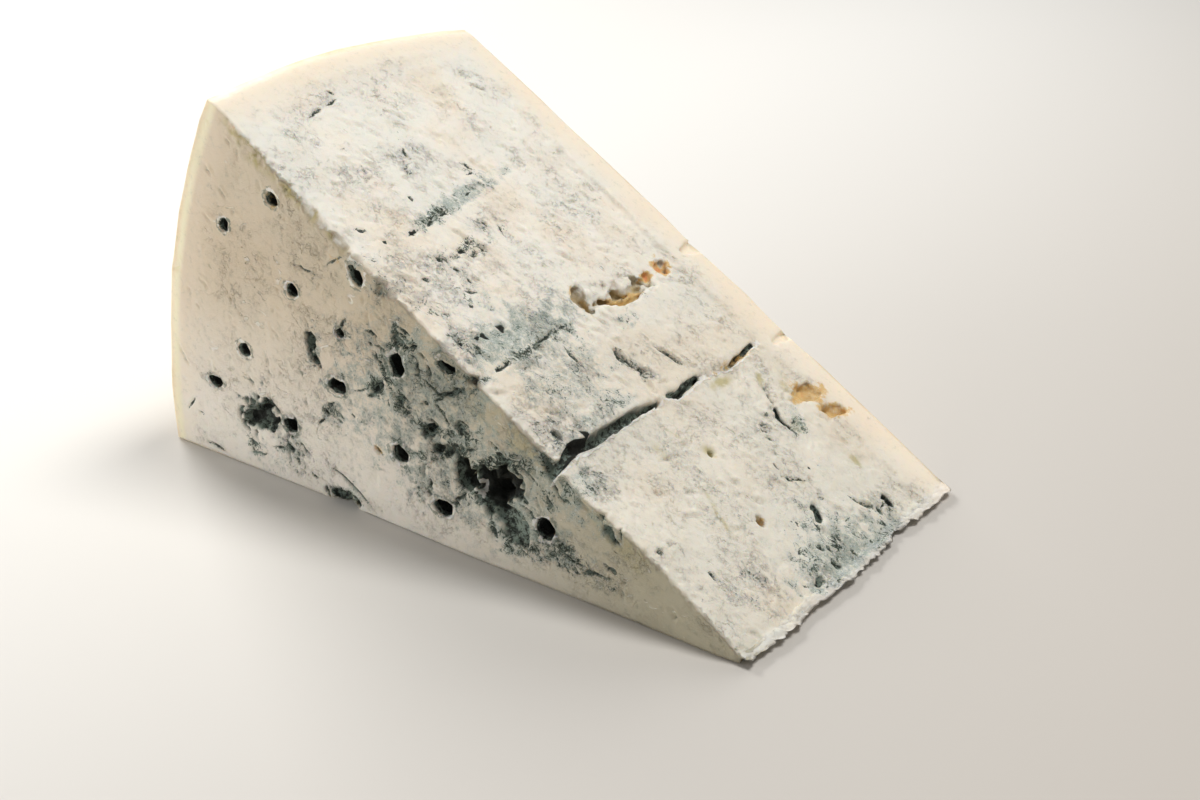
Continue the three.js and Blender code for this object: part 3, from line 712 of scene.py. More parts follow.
def wheel_sector():
    """Half of the wheel's cross-section, spun through the angle between the two long cuts."""
    deselect_all()
    bpy.ops.mesh.primitive_plane_add(size=1, location=(0, 0, 0))
    blank = bpy.context.object
    blank.name = "gorgonzola_paste"
    corners = mesh_points(blank)
    sides = (corners - corners.min(0)) / np.maximum(1e-9, np.ptp(corners, axis=0))
    corners = np.column_stack([
        SPIN_AXIS_X - sides[:, 0] * (RIM_RADIUS_AT_FLAT + SPIN_AXIS_X),
        sides[:, 1] * HALF_HEIGHT,
        0 * sides[:, 0],
    ])
    set_mesh_points(blank, corners)
    subdivide(blank, SWELL_CUTS)
    grid = mesh_points(blank)
    outward = (SPIN_AXIS_X - grid[:, 0]) / (RIM_RADIUS_AT_FLAT + SPIN_AXIS_X)
    along = grid[:, 1] / HALF_HEIGHT
    rim = rim_radius(along * flat_face(RIM_RADIUS_AT_FLAT))
    grid[:, 0] = SPIN_AXIS_X - outward * (rim + SPIN_AXIS_X)
    grid[:, 1] = along * flat_face(-grid[:, 0])
    set_mesh_points(blank, grid)
    activate(blank)
    bpy.ops.object.mode_set(mode="EDIT")
    bpy.ops.mesh.select_all(action="SELECT")
    axis_at = placed([SPIN_AXIS_X, 0, 0])
    bpy.ops.mesh.spin(steps=SPIN_STEPS, angle=-CUT_ANGLE, center=tuple(axis_at), axis=(0, 1, 0))
    bpy.ops.mesh.select_all(action="SELECT")
    bpy.ops.mesh.remove_doubles(threshold=1e-6)
    bpy.ops.mesh.normals_make_consistent(inside=False)
    bpy.ops.object.mode_set(mode="OBJECT")
    return blank


# ---------------------------------------------------------------- cutters and lumps

ROD_CUTS = 5
BLADE_CUTS = 27
ABOVE_CUT = 0.6  # how far over the upper cut the middles of its pits and notches lie


def needle_cutter(mouth, out, half_width, half_height, depth, seed):
    """A blind needle channel: a rod, narrowed and made uneven towards its inner end."""
    deselect_all()
    bpy.ops.mesh.primitive_cylinder_add(vertices=24, radius=MM, depth=MM)
    rod = bpy.context.object
    subdivide(rod, ROD_CUTS)
    local = raw_points(rod) / MM
    inward = np.clip(0.5 - local[:, 2], 0, 1)
    turn = np.arctan2(local[:, 1], local[:, 0])
    uneven = 1 + 0.20 * noise(2.2 * np.cos(turn) + 9 * seed, 2.2 * np.sin(turn) + 3 * inward, 51)
    narrowing = (1 - 0.45 * fade(inward, 0.55, 1.0)) * uneven
    out = np.asarray(out, float)
    side = np.cross([0, 0, 1.0], out)
    side = side / np.linalg.norm(side) if np.linalg.norm(side) > 0.1 else np.array([1.0, 0, 0])
    up = np.cross(out, side)
    points = (
        np.asarray(mouth, float)
        + (local[:, 0] * narrowing * half_width)[:, None] * side
        + (local[:, 1] * narrowing * half_height)[:, None] * up
        + (AIR - inward * (AIR + depth))[:, None] * out
    )
    set_mesh_points(rod, points)
    return rod


def pit_cutter(middle, along, across, out, half_length, half_width, depth, seed):
    """A rough bowl: a ball, flattened, turned and broken up."""
    deselect_all()
    bpy.ops.mesh.primitive_ico_sphere_add(subdivisions=5, radius=MM)
    ball = bpy.context.object
    unit = raw_points(ball) / MM
    broken = 1 + 0.30 * noise3(unit + 7 * seed, 0.75, 52) + 0.26 * noise3(unit - 5 * seed, 0.33, 53)
    broken = broken + 0.14 * noise3(unit + 3 * seed, 0.16, 56)
    unit = unit * broken[:, None]
    points = (
        np.asarray(middle, float)
        + (unit[:, 0] * half_length)[:, None] * along
        + (unit[:, 1] * half_width)[:, None] * across
        + (unit[:, 2] * depth)[:, None] * out
    )
    set_mesh_points(ball, points)
    return ball


def crack_cutter(path, depth, seed):
    """A blade along a path: a box, divided and bent to the path, thin at its lower edge."""
    deselect_all()
    bpy.ops.mesh.primitive_cube_add(size=MM)
    blade = bpy.context.object
    subdivide(blade, BLADE_CUTS)
    local = raw_points(blade) / MM + 0.5
    knots = np.array(path, float)
    steps = np.concatenate([[0], np.cumsum(np.hypot(*np.diff(knots[:, :2], axis=0).T))])
    t = local[:, 0] * steps[-1]
    r, v, half = (np.interp(t, steps, knots[:, k]) for k in range(3))
    ahead = np.column_stack([
        np.interp(t + 0.5, steps, knots[:, k]) - np.interp(t - 0.5, steps, knots[:, k])
        for k in (0, 1)
    ])
    ahead /= np.linalg.norm(ahead, axis=1)[:, None]
    down = 1 - local[:, 2]
    below = down * (depth + AIR) - AIR
    taper = 1 - 0.8 * fade(below, 0.3 * depth, depth)
    ragged = 0.45 * noise(t / 2.3, below / 3, 54 + seed) + 0.25 * noise(t / 0.9, below / 1.5, 55 + seed)
    offset = (2 * local[:, 1] - 1) * half * taper + ragged * half * 0.8
    points = on_upper_cut(r + ahead[:, 1] * offset, v - ahead[:, 0] * offset, -below)
    set_mesh_points(blade, points)
    return blade


def turned(first, second, degrees):
    """Two directions, turned in their own plane."""
    c, s = math.cos(math.radians(degrees)), math.sin(math.radians(degrees))
    return c * first + s * second, c * second - s * first


AWAY = np.array([-1.0, 0, 0])
ALONG_AXIS = np.array([0, 1.0, 0])
UPWARD = np.array([0, 0, 1.0])


def flat_face_holes():
    """The flat face's holes, left out where they would come too near an edge."""
    for i, (away, z, *_) in enumerate(NEEDLE_HOLES):
        a = away + FLAT_FACE_DRIFT * float(noise(np.float64(i * 1.7), np.float64(1), 31))
        b = z + FLAT_FACE_DRIFT * float(noise(np.float64(i * 1.7), np.float64(2), 32))
        under_upper_cut_by = a * math.sin(CUT_ANGLE) - b * math.cos(CUT_ANGLE)
        inside_rim_by = RIM_RADIUS_AT_FLAT - math.hypot(a, b)
        if min(under_upper_cut_by, inside_rim_by, b) >= FLAT_FACE_EDGE:
            yield a, b


def cutters():
    for i, (away, z, half_width, half_height, depth) in enumerate(NEEDLE_HOLES):
        yield needle_cutter([-away, 0, z], -ALONG_AXIS, half_width, half_height, depth, i)
    for i, (away, z) in enumerate(flat_face_holes()):
        mouth = [-away, flat_face(away), z]
        radius = FLAT_FACE_HOLE_RADIUS
        yield needle_cutter(mouth, ALONG_AXIS, radius, radius, FLAT_FACE_HOLE_DEPTH, i + 40)
    for i, (r, start, radius) in enumerate(RIND_NOTCHES):
        length = HALF_HEIGHT - start
        mouth = on_upper_cut(r, HALF_HEIGHT, ABOVE_CUT)
        yield needle_cutter(mouth, ALONG_AXIS, radius, radius, length, i + 60)
    for i, (away, z, half_length, half_width, turn, depth) in enumerate(HALVING_PITS):
        along, across = turned(AWAY, UPWARD, turn)
        yield pit_cutter([-away, 0, z], along, across, ALONG_AXIS, half_length, half_width, depth, i)
    for i, (r, v, half_length, half_width, turn, depth) in enumerate(UPPER_PITS):
        along, across = turned(UP_SLOPE, ALONG_AXIS, turn)
        middle, full_depth = on_upper_cut(r, v, ABOVE_CUT), depth + ABOVE_CUT
        yield pit_cutter(middle, along, across, INTO_UPPER_CUT, half_length, half_width, full_depth, i + 30)
    for i, (path, depth, _) in enumerate(UPPER_CRACKS):
        yield crack_cutter(path, depth, i)


def standing_lumps():
    for i, (r, v, h, half_r, half_v, half_h) in enumerate(STANDING_LUMPS):
        middle = on_upper_cut(r, v, h)
        yield pit_cutter(middle, UP_SLOPE, ALONG_AXIS, INTO_UPPER_CUT, half_r, half_v, half_h, i + 70)


# ---------------------------------------------------------------- the paste


def remeshed(piece, voxel):
    """One closed skin of even faces, with the edges of holes a little worn."""
    remesh = piece.modifiers.new("even", "REMESH")
    remesh.mode = "VOXEL"
    remesh.voxel_size = voxel * MM
    remesh.adaptivity = 0
    worn = piece.modifiers.new("worn", "SMOOTH")
    worn.factor = 0.5
    worn.iterations = 2
    apply_modifiers(piece)


FARTHEST_REACH = 4.0
SHALLOW = 3.5  # holes less deep than this are only dents
NIBBLED_DEPTH = 2.0  # pits deeper than this have nibbled rims
STROKE_SEED = 5
# Small random tears: how many, between which places, their turn and its spread, and their sizes.
UPPER_STROKES = (300, (2, 146), (1, 70), -22, 30, (0.8, 1.9), (0.36, 0.7), (0.2, 0.6))
HALVING_STROKES = (240, (12, 150), (2, 78), 70, 40, (0.6, 1.5), (0.36, 0.6), (0.15, 0.5))


def turned_offsets(a, b, x, y, turn):
    """How far points lie from x, y, along and across a direction turned by so many degrees."""
    c, s = math.cos(math.radians(turn)), math.sin(math.radians(turn))
    da, db = a - x, b - y
    return da * c + db * s, db * c - da * s


def nearest_reach(a, b, hollows):
    """How far each point is from the middle of the nearest hollow, in that hollow's half-sizes."""
    nearest = np.full(len(a), FARTHEST_REACH)
    for x, y, half_a, half_b, turn, *_ in hollows:
        along, across = turned_offsets(a, b, x, y, turn)
        nearest = np.minimum(nearest, np.hypot(along / half_a, across / half_b))
    return nearest


def strokes_on(rng, count, places_a, places_b, turn, spread, lengths, widths, depths):
    """Short random tears, as in the lists above."""
    return np.column_stack([
        rng.uniform(*places_a, count),
        rng.uniform(*places_b, count),
        rng.uniform(*lengths, count) ** 1.5,
        rng.uniform(*widths, count),
        turn + spread * rng.normal(size=count),
        rng.uniform(*depths, count),
    ])


def around_tear(a, b, tear):
    """The points near a tear, and where they lie along and across it in its half-sizes."""
    x, y, half_length, half_width, turn, _ = tear
    reach = max(half_length, half_width) + 2.5
    near = np.nonzero((abs(a - x) < reach) & (abs(b - y) < reach))[0]
    along, across = turned_offsets(a[near], b[near], x, y, turn)
    along, across = along / half_length, across / half_width
    return near, along, across + 0.7 * noise(along * 2.1 + x, 0 * along + y, 61)


def tear_relief(a, b, tears):
    """Grooves with one raised lip, summed."""
    relief = np.zeros(len(a))
    for tear in tears:
        near, along, across = around_tear(a, b, tear)
        groove = 1 - fade(np.hypot(along, across), 0.2, 1.5)
        lip = np.exp(-((across - 2.0) / 0.9) ** 2) * np.clip(1 - along * along, 0, 1)
        relief[near] += tear[DEPTH] * (0.5 * lip - groove)
    return relief


def tear_ink(a, b, tears):
    """1 in the middle of a tear, 0.5 at its edge and 0 as far out again."""
    ink = np.zeros(len(a))
    for tear in tears:
        near, along, across = around_tear(a, b, tear)
        ink[near] = np.maximum(ink[near], np.clip(1 - 0.5 * np.hypot(along, 1.2 * across), 0, 1))
    return ink


def crack_reach(r, v, path):
    """How far each point is from the nearest edge of a crack, below 0 inside it."""
    nearest = np.full(len(r), 99.0)
    for (r0, v0, half0), (r1, v1, half1) in zip(path[:-1], path[1:]):
        dr, dv = r1 - r0, v1 - v0
        t = np.clip(((r - r0) * dr + (v - v0) * dv) / (dr * dr + dv * dv), 0, 1)
        off = np.hypot(r - r0 - t * dr, v - v0 - t * dv) - (half0 + t * (half1 - half0))
        nearest = np.minimum(nearest, off)
    return nearest


def cavity_web(away, z):
    """1 along the thin pale web that is left standing in the great cavity."""
    return 1 - fade(crack_reach(away, z, CAVITY_WEB) + 0.1 * noise(away, z, 94), 0.1, 0.5)


def crack_lips(r, v):
    """1 along the ragged lip that is raised below each crack."""
    lips = np.zeros(len(r))
    for path, *_ in UPPER_CRACKS[:3]:
        knots = np.array(path)
        below = r < np.interp(v, knots[:, 1], knots[:, 0])
        off = crack_reach(r, v, path) + 0.3 * noise(r / 1.1, v / 0.9, 73)
        lips = np.maximum(lips, within(off, 0.0, 0.7, 0.25) * below)
    return lips


def edge_crumbs(away, z):
    """1 in the part of the halving cut that crumbled along its upper edge."""
    below_edge = away * math.sin(CUT_ANGLE) - z * math.cos(CUT_ANGLE) + 1.2 * noise(away / 3, z / 3, 92)
    return within(away, *CHIPPED_EDGE, 4) * (1 - fade(below_edge, 1.5, 4.5))


def sculpt(paste):
    """Gives the even mesh its torn upper cut, its dragged halving cut, and its crumbling edges."""
    p = mesh_points(paste)
    r = p @ UP_SLOPE
    h = p @ OUT_OF_CUT
    v = p[:, 1].copy()
    rng = np.random.default_rng(STROKE_SEED)
    blank_height = SPIN_AXIS_X * math.sin(CUT_ANGLE)
    band = smooth_band(r, v)

    # the upper cut, with what lies up to 8 mm under it carried along
    upper_strokes = strokes_on(rng, *UPPER_STROKES)
    relief = crag_height(r, v) + flake_height(r, v) * (1 - 0.9 * band)
    relief = relief + tear_relief(r, v, upper_strokes) * (1 - band) + tear_relief(r, v, UPPER_TEARS)
    relief = relief + crack_lips(r, v) * (0.25 + 0.3 * noise(r / 1.4, v / 1.2, 74)) * fade(v, 0.5, 2.5)
    relief = relief + blob_field(r, v, UPPER_MOULD, SPECKS) * (0.24 * noise(r / 1.2, v / 0.9, 85) - 0.10)
    carried = fade(h, blank_height - 8.5, blank_height - 0.5)
    p = p + ((relief - blank_height) * carried)[:, None] * OUT_OF_CUT
    near_top = carried > 0.9
    thickness = THIN_END_THICKNESS + 0.5 * noise(v / 1.6, r / 1.6, 62)
    p[near_top, 2] = np.maximum(p[near_top, 2], thickness[near_top])
    at_end = fade(p[:, 0], -7, SPIN_AXIS_X)
    p[:, 0] += at_end * (thin_end_reach(v) - SPIN_AXIS_X + 0.3 * noise(v / 1.1, p[:, 2] / 0.7, 75))

    # the halving cut, dragged by the wire
    away, z = -p[:, 0], p[:, 2]
    halving_strokes = strokes_on(rng, *HALVING_STROKES)
    drag = 0.07 * noise(away / 3.2, z / 14, 63) + 0.05 * noise(away / 1.3, z / 5, 64)
    swell = 0.30 * noise(away / 26, z / 22, 65) + 0.10 * noise(away / 7, z / 8, 76)
    grain = 0.03 * noise(away / 0.9, z / 0.9, 66)
    wet = swell + drag + grain + tear_relief(away, z, halving_strokes) + tear_relief(away, z, HALVING_TEARS)
    furry = blob_field(away, z, HALVING_MOULD, SPECKS)
    wet = wet + furry * (0.34 * noise(away / 1.3, z / 1.3, 86) + 0.22 * noise(away / 0.7, z / 0.7, 87) - 0.15)
    crumbly = 0.55 * noise(away / 1.6, z / 1.5, 90) + 0.3 * noise(away / 0.8, z / 0.8, 91)
    wet = wet + edge_crumbs(away, z) * crumbly
    rimmed = [pit for pit in HALVING_PITS if pit[DEPTH] > NIBBLED_DEPTH]
    rim = within(nearest_reach(away, z, rimmed), 0.8, 1.5, 0.2)
    nibbled = fade(noise(away / 1.3, z / 1.3, 88) + 0.5 * noise(away / 0.6, z / 0.6, 89), 0.0, 0.5)
    wet = wet - 1.3 * rim * nibbled
    for a, b, half_width, half_height, _ in NEEDLE_HOLES:
        reach = np.hypot((away - a) / half_width, (z - b) / half_height)
        wet = wet + within(reach, 1.0, 1.5, 0.25) * (0.16 + 0.2 * noise(away / 0.9, z / 0.9, 77))
    p[:, 1] -= wet * (1 - fade(p[:, 1], 0.2, 4))

    # grain inside hollows and over the rind, and crumbs in the hollows where the paste broke
    n = mesh_normals(paste)
    in_broken = 1 - fade(nearest_reach(r, v, CLEAN_HOLLOWS[:1]), 0.7, 1.1)
    flaked = 2.6 * noise3(p, 2.2, 78)
    part = flaked - np.floor(flaked)
    crumbs = 0.42 * (np.floor(flaked) + fade(part, 0.6, 0.9)) + 0.30 * noise3(p, 0.9, 79)
    p = p + (crumbs * in_broken * near_top * fade(blank_height - h, 0.0, 0.7))[:, None] * n
    rough = 0.34 * noise3(p, 2.6, 67) + 0.26 * noise3(p, 1.3, 68) + 0.10 * noise3(p, 0.7, 69)
    inside = np.minimum(fade(-h, -blank_height + 0.8, -blank_height + 2), fade(v, 0.7, 2.0))
    rind_depth = np.minimum(rim_radius(v) - np.hypot(p[:, 0], p[:, 2]), flat_face(away) - v)
    on_rind = 1 - fade(rind_depth, 0.4, 1.6)
    on_base = p[:, 2] < 0.2
    weight = inside * (1 - on_rind) + 0.35 * on_rind
    p = p + (rough * weight * ~on_base)[:, None] * n
    p[:, 2] = np.where(on_base, 0.0, np.maximum(p[:, 2], 0.0))
    set_mesh_points(paste, p)


def thin_out(paste):
    """Fewer faces, most of them taken from the sides that are smooth."""
    paste.data.calc_loop_triangles()
    triangles = len(paste.data.loop_triangles)
    if triangles <= MOST_TRIANGLES:
        return
    p = mesh_points(paste)
    plain = (p[:, 2] < 0.3) | (p[:, 1] > flat_face(-p[:, 0]) - 1.2)
    plain |= np.hypot(p[:, 0], p[:, 2]) > rim_radius(p[:, 1]) - 1.5
    group = paste.vertex_groups.new(name="smooth_sides")
    group.add(np.nonzero(plain)[0].tolist(), 1.0, "REPLACE")
    group.add(np.nonzero(~plain)[0].tolist(), 0.15, "REPLACE")
    decimate = paste.modifiers.new("thin_out", "DECIMATE")
    decimate.vertex_group = group.name
    decimate.ratio = MOST_TRIANGLES / triangles
    apply_modifiers(paste)
    paste.vertex_groups.clear()


def drop_specks(paste):
    """Deletes the specks that cutting and thinning out leave apart from the one skin."""
    highest = int(np.argmax(mesh_points(paste)[:, 2]))
    activate(paste)
    bpy.ops.object.mode_set(mode="EDIT")
    bpy.ops.mesh.select_all(action="DESELECT")
    bpy.ops.object.mode_set(mode="OBJECT")
    paste.data.vertices[highest].select = True
    bpy.ops.object.mode_set(mode="EDIT")
    bpy.ops.mesh.select_linked()
    bpy.ops.mesh.select_all(action="INVERT")
    bpy.ops.mesh.delete(type="VERT")
    bpy.ops.object.mode_set(mode="OBJECT")


# ---------------------------------------------------------------- masks

DEEPEST = 12.0  # millimetres under the surface at which the mask of depth reaches 1
# Holes, pits and the great cavity are painted as if they were this many times as deep, so that deeper in they
# turn to painted shade, near black.
HOLE_DARKENING = 3.5
PIT_DARKENING = 1.6
CAVITY_DARKENING = 1.7
CAVITY_LEAST_DEPTH = 4.2  # pits deeper than this are painted as the great cavity is
CAVITY_DEPTH = 12.0  # what lies farther in than this isn't the cavity's wall
CRACK_MOUTH = 3.5  # the long crack runs out into the halving cut nearer than this


def blob_field(a, b, blobs, column):
    """How strongly ragged blobs cover each point: the strongest counts, and the others add a little."""
    clear = np.ones(len(a))
    ragged = 0.34 * noise(a / 2.4, b / 1.7, 81) + 0.26 * noise(a / 1.1, b / 0.8, 82)
    for blob in blobs:
        x, y, half_a, half_b, turn = blob[:5]
        along, across = turned_offsets(a, b, x, y, turn)
        reach = np.hypot(along / half_a, across / half_b) + ragged
        clear *= 1 - blob[column] * (1 - fade(reach, 0.45, 1.4))
    return 1 - clear


def paint_masks(paste):
    """Where the mould, the stains, the hollows and the rind are, and where light and shade are painted, one
    number for each point.
    """
    p = mesh_points(paste)
    r, v, h = p @ UP_SLOPE, p[:, 1], p @ OUT_OF_CUT
    away, z = -p[:, 0], p[:, 2]
    under_upper = crag_height(r, v) - h
    near_upper = 1 - fade(under_upper, 3.0, 7.5)
    near_halving = 1 - fade(v, 1.5, 9.0)
    facing_up = mesh_normals(paste) @ OUT_OF_CUT
    on_halving = near_halving * np.maximum(fade(under_upper, 1.0, 1.8), 1 - fade(facing_up, 0.45, 0.75))

    def both(upper, halving, column):
        from_upper = blob_field(r, v, upper, column) * near_upper
        return np.maximum(from_upper, blob_field(away, z, halving, column) * on_halving)

    rind_depth = np.minimum(rim_radius(v) - np.hypot(away, z), flat_face(away) - v)
    in_pit = nearest_reach(r, v, UPPER_PITS) < 1.5
    # depth: how far into a hollow each point is painted, where the mould gives way to painted shade
    depth = np.where(in_pit, PIT_DARKENING * (under_upper - 0.3), under_upper - 2.2)
    for path, _, darkening in UPPER_CRACKS:
        in_crack = (crack_reach(r, v, path) < 0.9) & (under_upper < 9) & (v > CRACK_MOUTH)
        depth = np.where(in_crack, darkening * (under_upper - 0.4), depth)
    depth = np.minimum(depth, v - 0.2) * fade(rind_depth, 0.8, 2.2)
    depth = depth * fade(z, 0.1, 0.8) * fade(away, 1.2, 3.0)
    cavity = [pit for pit in HALVING_PITS if pit[DEPTH] > CAVITY_LEAST_DEPTH]
    in_cavity = (nearest_reach(away, z, cavity) < 1.25) & (under_upper > 0.5) & (v < CAVITY_DEPTH)
    depth = np.where(in_cavity, np.maximum(depth, CAVITY_DARKENING * (v - 0.2)), depth)
    for a, b in flat_face_holes():
        below_face = flat_face(away) - v
        in_hole = np.hypot(away - a, z - b) < 1.5 * FLAT_FACE_HOLE_RADIUS
        in_hole &= (below_face < FLAT_FACE_HOLE_DEPTH + 1) & (under_upper > 2)
        depth = np.where(in_hole, HOLE_DARKENING * (below_face - 0.2), depth)
    deep_holes = [hole for hole in NEEDLE_HOLES if hole[4] > SHALLOW]
    for a, b, half_width, half_height, hole_depth in deep_holes:
        reach = np.hypot((away - a) / half_width, (z - b) / half_height)
        in_hole = (reach < 1.5) & (v < hole_depth + 1) & (under_upper > 0.5)
        depth = np.where(in_hole, np.maximum(depth, HOLE_DARKENING * (v - 0.2)), depth)
    mouths = nearest_reach(away, z, [(*hole[:4], 0) for hole in deep_holes])
    upper_ink = tear_ink(r, v, UPPER_TEARS) * (1 - fade(under_upper, 2, 4))
    crumbled_end = fade(away + 0.8 * noise(v / 2.2, z / 2, 84), 0.2, 2.2)
    # painted shade in the gaps between the crumbs along the upper edge
    crumb_gap_shade = edge_crumbs(away, z) * fade(-noise(away / 1.6, z / 1.5, 90), -0.2, 0.4) * on_halving
    masks = {
        "mould": both(UPPER_MOULD, HALVING_MOULD, STAIN) * (0.4 + 0.6 * crumbled_end),
        "specks": both(UPPER_MOULD, HALVING_MOULD, SPECKS) * (0.5 + 0.5 * crumbled_end),
        "rust": both(UPPER_RUST, HALVING_RUST, STAIN),
        "olive_and_shade": np.maximum(both(UPPER_OLIVE, HALVING_OLIVE_SHADE, STAIN), crumb_gap_shade),
        "ink": np.maximum(upper_ink, tear_ink(away, z, HALVING_TEARS) * on_halving),
        "depth": depth / DEEPEST,
        "clean": blob_field(r, v, CLEAN_HOLLOWS, STAIN) * near_upper,
        "mouths": (1 - mouths / FARTHEST_REACH) * on_halving,
        "lips": np.maximum(crack_lips(r, v) * near_upper, cavity_web(away, z) * on_halving),
        "under_rind": 1 - fade(rind_depth, 1.0, 12.0),
        "rind": 1 - fade(rind_depth, 0.2, 1.4),
        "halving": on_halving,
        "thin": 1 - fade(away - 0.6 * (z - 20), 26, 100),
        # painted bounce light from the floor, strongest at the base
        "painted_bounce": 1 - fade(z, 2, 50),
    }
    for name, values in masks.items():
        mask = paste.data.attributes.new(name, "FLOAT", "POINT")
        mask.data.foreach_set("value", np.clip(values, 0, 1).astype(np.float32))


def gorgonzola_paste():
    paste = wheel_sector()
    for cutter in cutters():
        cut_away(paste, cutter)
    lumps = list(standing_lumps())
    activate(paste)
    for lump in lumps:
        lump.select_set(True)
    bpy.ops.object.join()
    remeshed(paste, VOXEL)
    sculpt(paste)
    thin_out(paste)
    drop_specks(paste)
    activate(paste)
    bpy.ops.object.mode_set(mode="EDIT")
    bpy.ops.mesh.select_all(action="SELECT")
    bpy.ops.mesh.quads_convert_to_tris()
    bpy.ops.object.mode_set(mode="OBJECT")
    bpy.ops.object.shade_smooth()
    paint_masks(paste)
    return paste


# ---------------------------------------------------------------- material


def colour(red, green, blue):
    """A linear colour from screen values of 0 to 255."""
    def linear(value):
        value /= 255
        return value / 12.92 if value <= 0.04045 else ((value + 0.055) / 1.055) ** 2.4
    return linear(red), linear(green), linear(blue), 1.0


class Tree:
    """Adds nodes and links to a node tree."""

    def __init__(self, tree):
        self.nodes, self.links = tree.nodes, tree.links

    def give(self, sockets, values):
        """Links each socket named, or sets it where the value isn't another node's output."""
        for key, value in dict(values).items():
            if isinstance(value, bpy.types.NodeSocket):
                self.links.new(value, sockets[key])
            else:
                sockets[key].default_value = value

    def add(self, kind, inputs=(), **settings):
        node = self.nodes.new(kind)
        for name, value in settings.items():
            setattr(node, name, value)
        self.give(node.inputs, inputs)
        return node

    def math(self, operation, *values):
        return self.add("ShaderNodeMath", enumerate(values), operation=operation).outputs[0]

    def times(self, a, b):
        return self.math("MULTIPLY", a, b)

    def scaled(self, a, b, c):
        """a times b, plus c."""
        return self.math("MULTIPLY_ADD", a, b, c)

    def larger(self, a, b):
        return self.math("MAXIMUM", a, b)

    def fade(self, value, start, stop, low=0.0, high=1.0):
        inputs = {"Value": value, "From Min": start, "From Max": stop, "To Min": low, "To Max": high}
        node = self.add("ShaderNodeMapRange", inputs, interpolation_type="SMOOTHSTEP")
        return node.outputs["Result"]

    def mix(self, share, a, b):
        return self.add("ShaderNodeMix", {0: share, 6: a, 7: b}, data_type="RGBA").outputs[2]

    def layered(self, tone, layers):
        """Lays each colour over the tone by its share."""
        for share, over in layers:
            tone = self.mix(share, tone, over)
        return tone

    def noise(self, vector, scale, detail=3.0, roughness=0.55, distortion=0.0):
        inputs = {
            "Vector": vector, "Scale": scale, "Detail": detail,
            "Roughness": roughness, "Distortion": distortion,
        }
        return self.add("ShaderNodeTexNoise", inputs).outputs["Fac"]

    def mapped(self, vector, kind="POINT", **inputs):
        node = self.add("ShaderNodeMapping", {"Vector": vector, **inputs}, vector_type=kind)
        return node.outputs["Vector"]

    def mask(self, name):
        return self.add("ShaderNodeAttribute", attribute_name=name).outputs["Fac"]


def new_group(name, inputs, outputs):
    """A group with the place as a vector and numbers for the rest."""
    group = bpy.data.node_groups.new(name, "ShaderNodeTree")
    group.interface.new_socket("Place", in_out="INPUT", socket_type="NodeSocketVector")
    for in_out, names in (("INPUT", inputs), ("OUTPUT", outputs)):
        for socket in names:
            group.interface.new_socket(socket, in_out=in_out, socket_type="NodeSocketFloat")
    tree = Tree(group)
    return group, tree, tree.add("NodeGroupInput").outputs, tree.add("NodeGroupOutput").inputs


def mould_growth():
    """Breaks soft patches of mould into haze, the dusky veins in it, their dark middles and pale lips."""
    group, tree, given, made = new_group(
        "mould growth", ("Patches", "Specks", "Ink"), ("Haze", "Dusk", "Dark", "Lip")
    )
    place, patches, ink = given["Place"], given["Patches"], given["Ink"]
    large = tree.math("SUBTRACT", tree.noise(place, 310.0, 5.0, 0.64, 0.9), 0.5)
    small = tree.math("SUBTRACT", tree.noise(place, 1300.0, 3.0, 0.65, 1.2), 0.5)
    threads = tree.math("ABSOLUTE", tree.math("SUBTRACT", tree.noise(place, 430.0, 3.0, 0.55, 1.6), 0.5))
    both = tree.math("ADD", tree.times(large, 1.5), tree.times(small, 1.7))
    haze = tree.scaled(patches, 1.15, tree.math("SUBTRACT", both, 0.46))
    clumps = tree.fade(tree.noise(place, 170.0, 2.0, 0.5), 0.42, 0.57, 0.45, 1.0)
    specks = tree.times(given["Specks"], clumps)
    grains = tree.math("ADD", specks, tree.math("SUBTRACT", both, 0.92))
    veins = tree.scaled(both, 0.9, tree.scaled(specks, 1.15, -0.42))
    veins = tree.scaled(threads, -7.0, veins)
    inked = tree.scaled(ink, 1.7, tree.scaled(both, 1.1, -0.88))
    stains = tree.larger(tree.larger(grains, veins), inked)
    allowed = tree.fade(tree.larger(tree.larger(patches, given["Specks"]), ink), 0.04, 0.30)
    beside = tree.times(tree.fade(stains, -0.46, -0.34), tree.fade(stains, -0.12, -0.22))
    tree.give(made, {
        "Haze": tree.times(tree.fade(haze, 0.0, 1.0), allowed),
        "Dusk": tree.times(tree.fade(stains, -0.10, 0.06), allowed),
        "Dark": tree.times(tree.fade(stains, 0.14, 0.28), allowed),
        "Lip": tree.times(beside, allowed),
    })
    return group


def fine_tears():
    """Short torn dashes here and there, and the lip raised beside each."""
    group, tree, given, made = new_group("fine tears", (), ("Line", "Lip"))
    stretched = tree.mapped(given["Place"], Scale=(0.6, 1.0, 1.0))
    beside = tree.mapped(stretched, Location=(0.0, 0.00035, 0.0))
    here = tree.fade(tree.noise(given["Place"], 210.0, 2.0, 0.5), 0.42, 0.60, 0.0, 0.08)
    line = tree.math("ADD", tree.noise(stretched, 980.0, 2.0, 0.55, 0.5), here)
    lip = tree.math("ADD", tree.noise(beside, 980.0, 2.0, 0.55, 0.5), here)
    tree.give(made, {"Line": tree.fade(line, 0.74, 0.80), "Lip": tree.fade(lip, 0.73, 0.79)})
    return group


def torn_flakes():
    """A height in low terraces that break off at thin scarps, here and there."""
    group, tree, given, made = new_group("torn flakes", (), ("Height",))
    place = given["Place"]
    part = tree.math("FRACT", tree.times(tree.noise(place, 120.0, 6.0, 0.66), 8.0))
    terrace = tree.scaled(part, -0.55, tree.fade(part, 0.82, 0.96))
    here = tree.fade(tree.noise(place, 190.0, 1.0, 0.5), 0.48, 0.62)
    tree.give(made, {"Height": tree.times(terrace, here)})
    return group


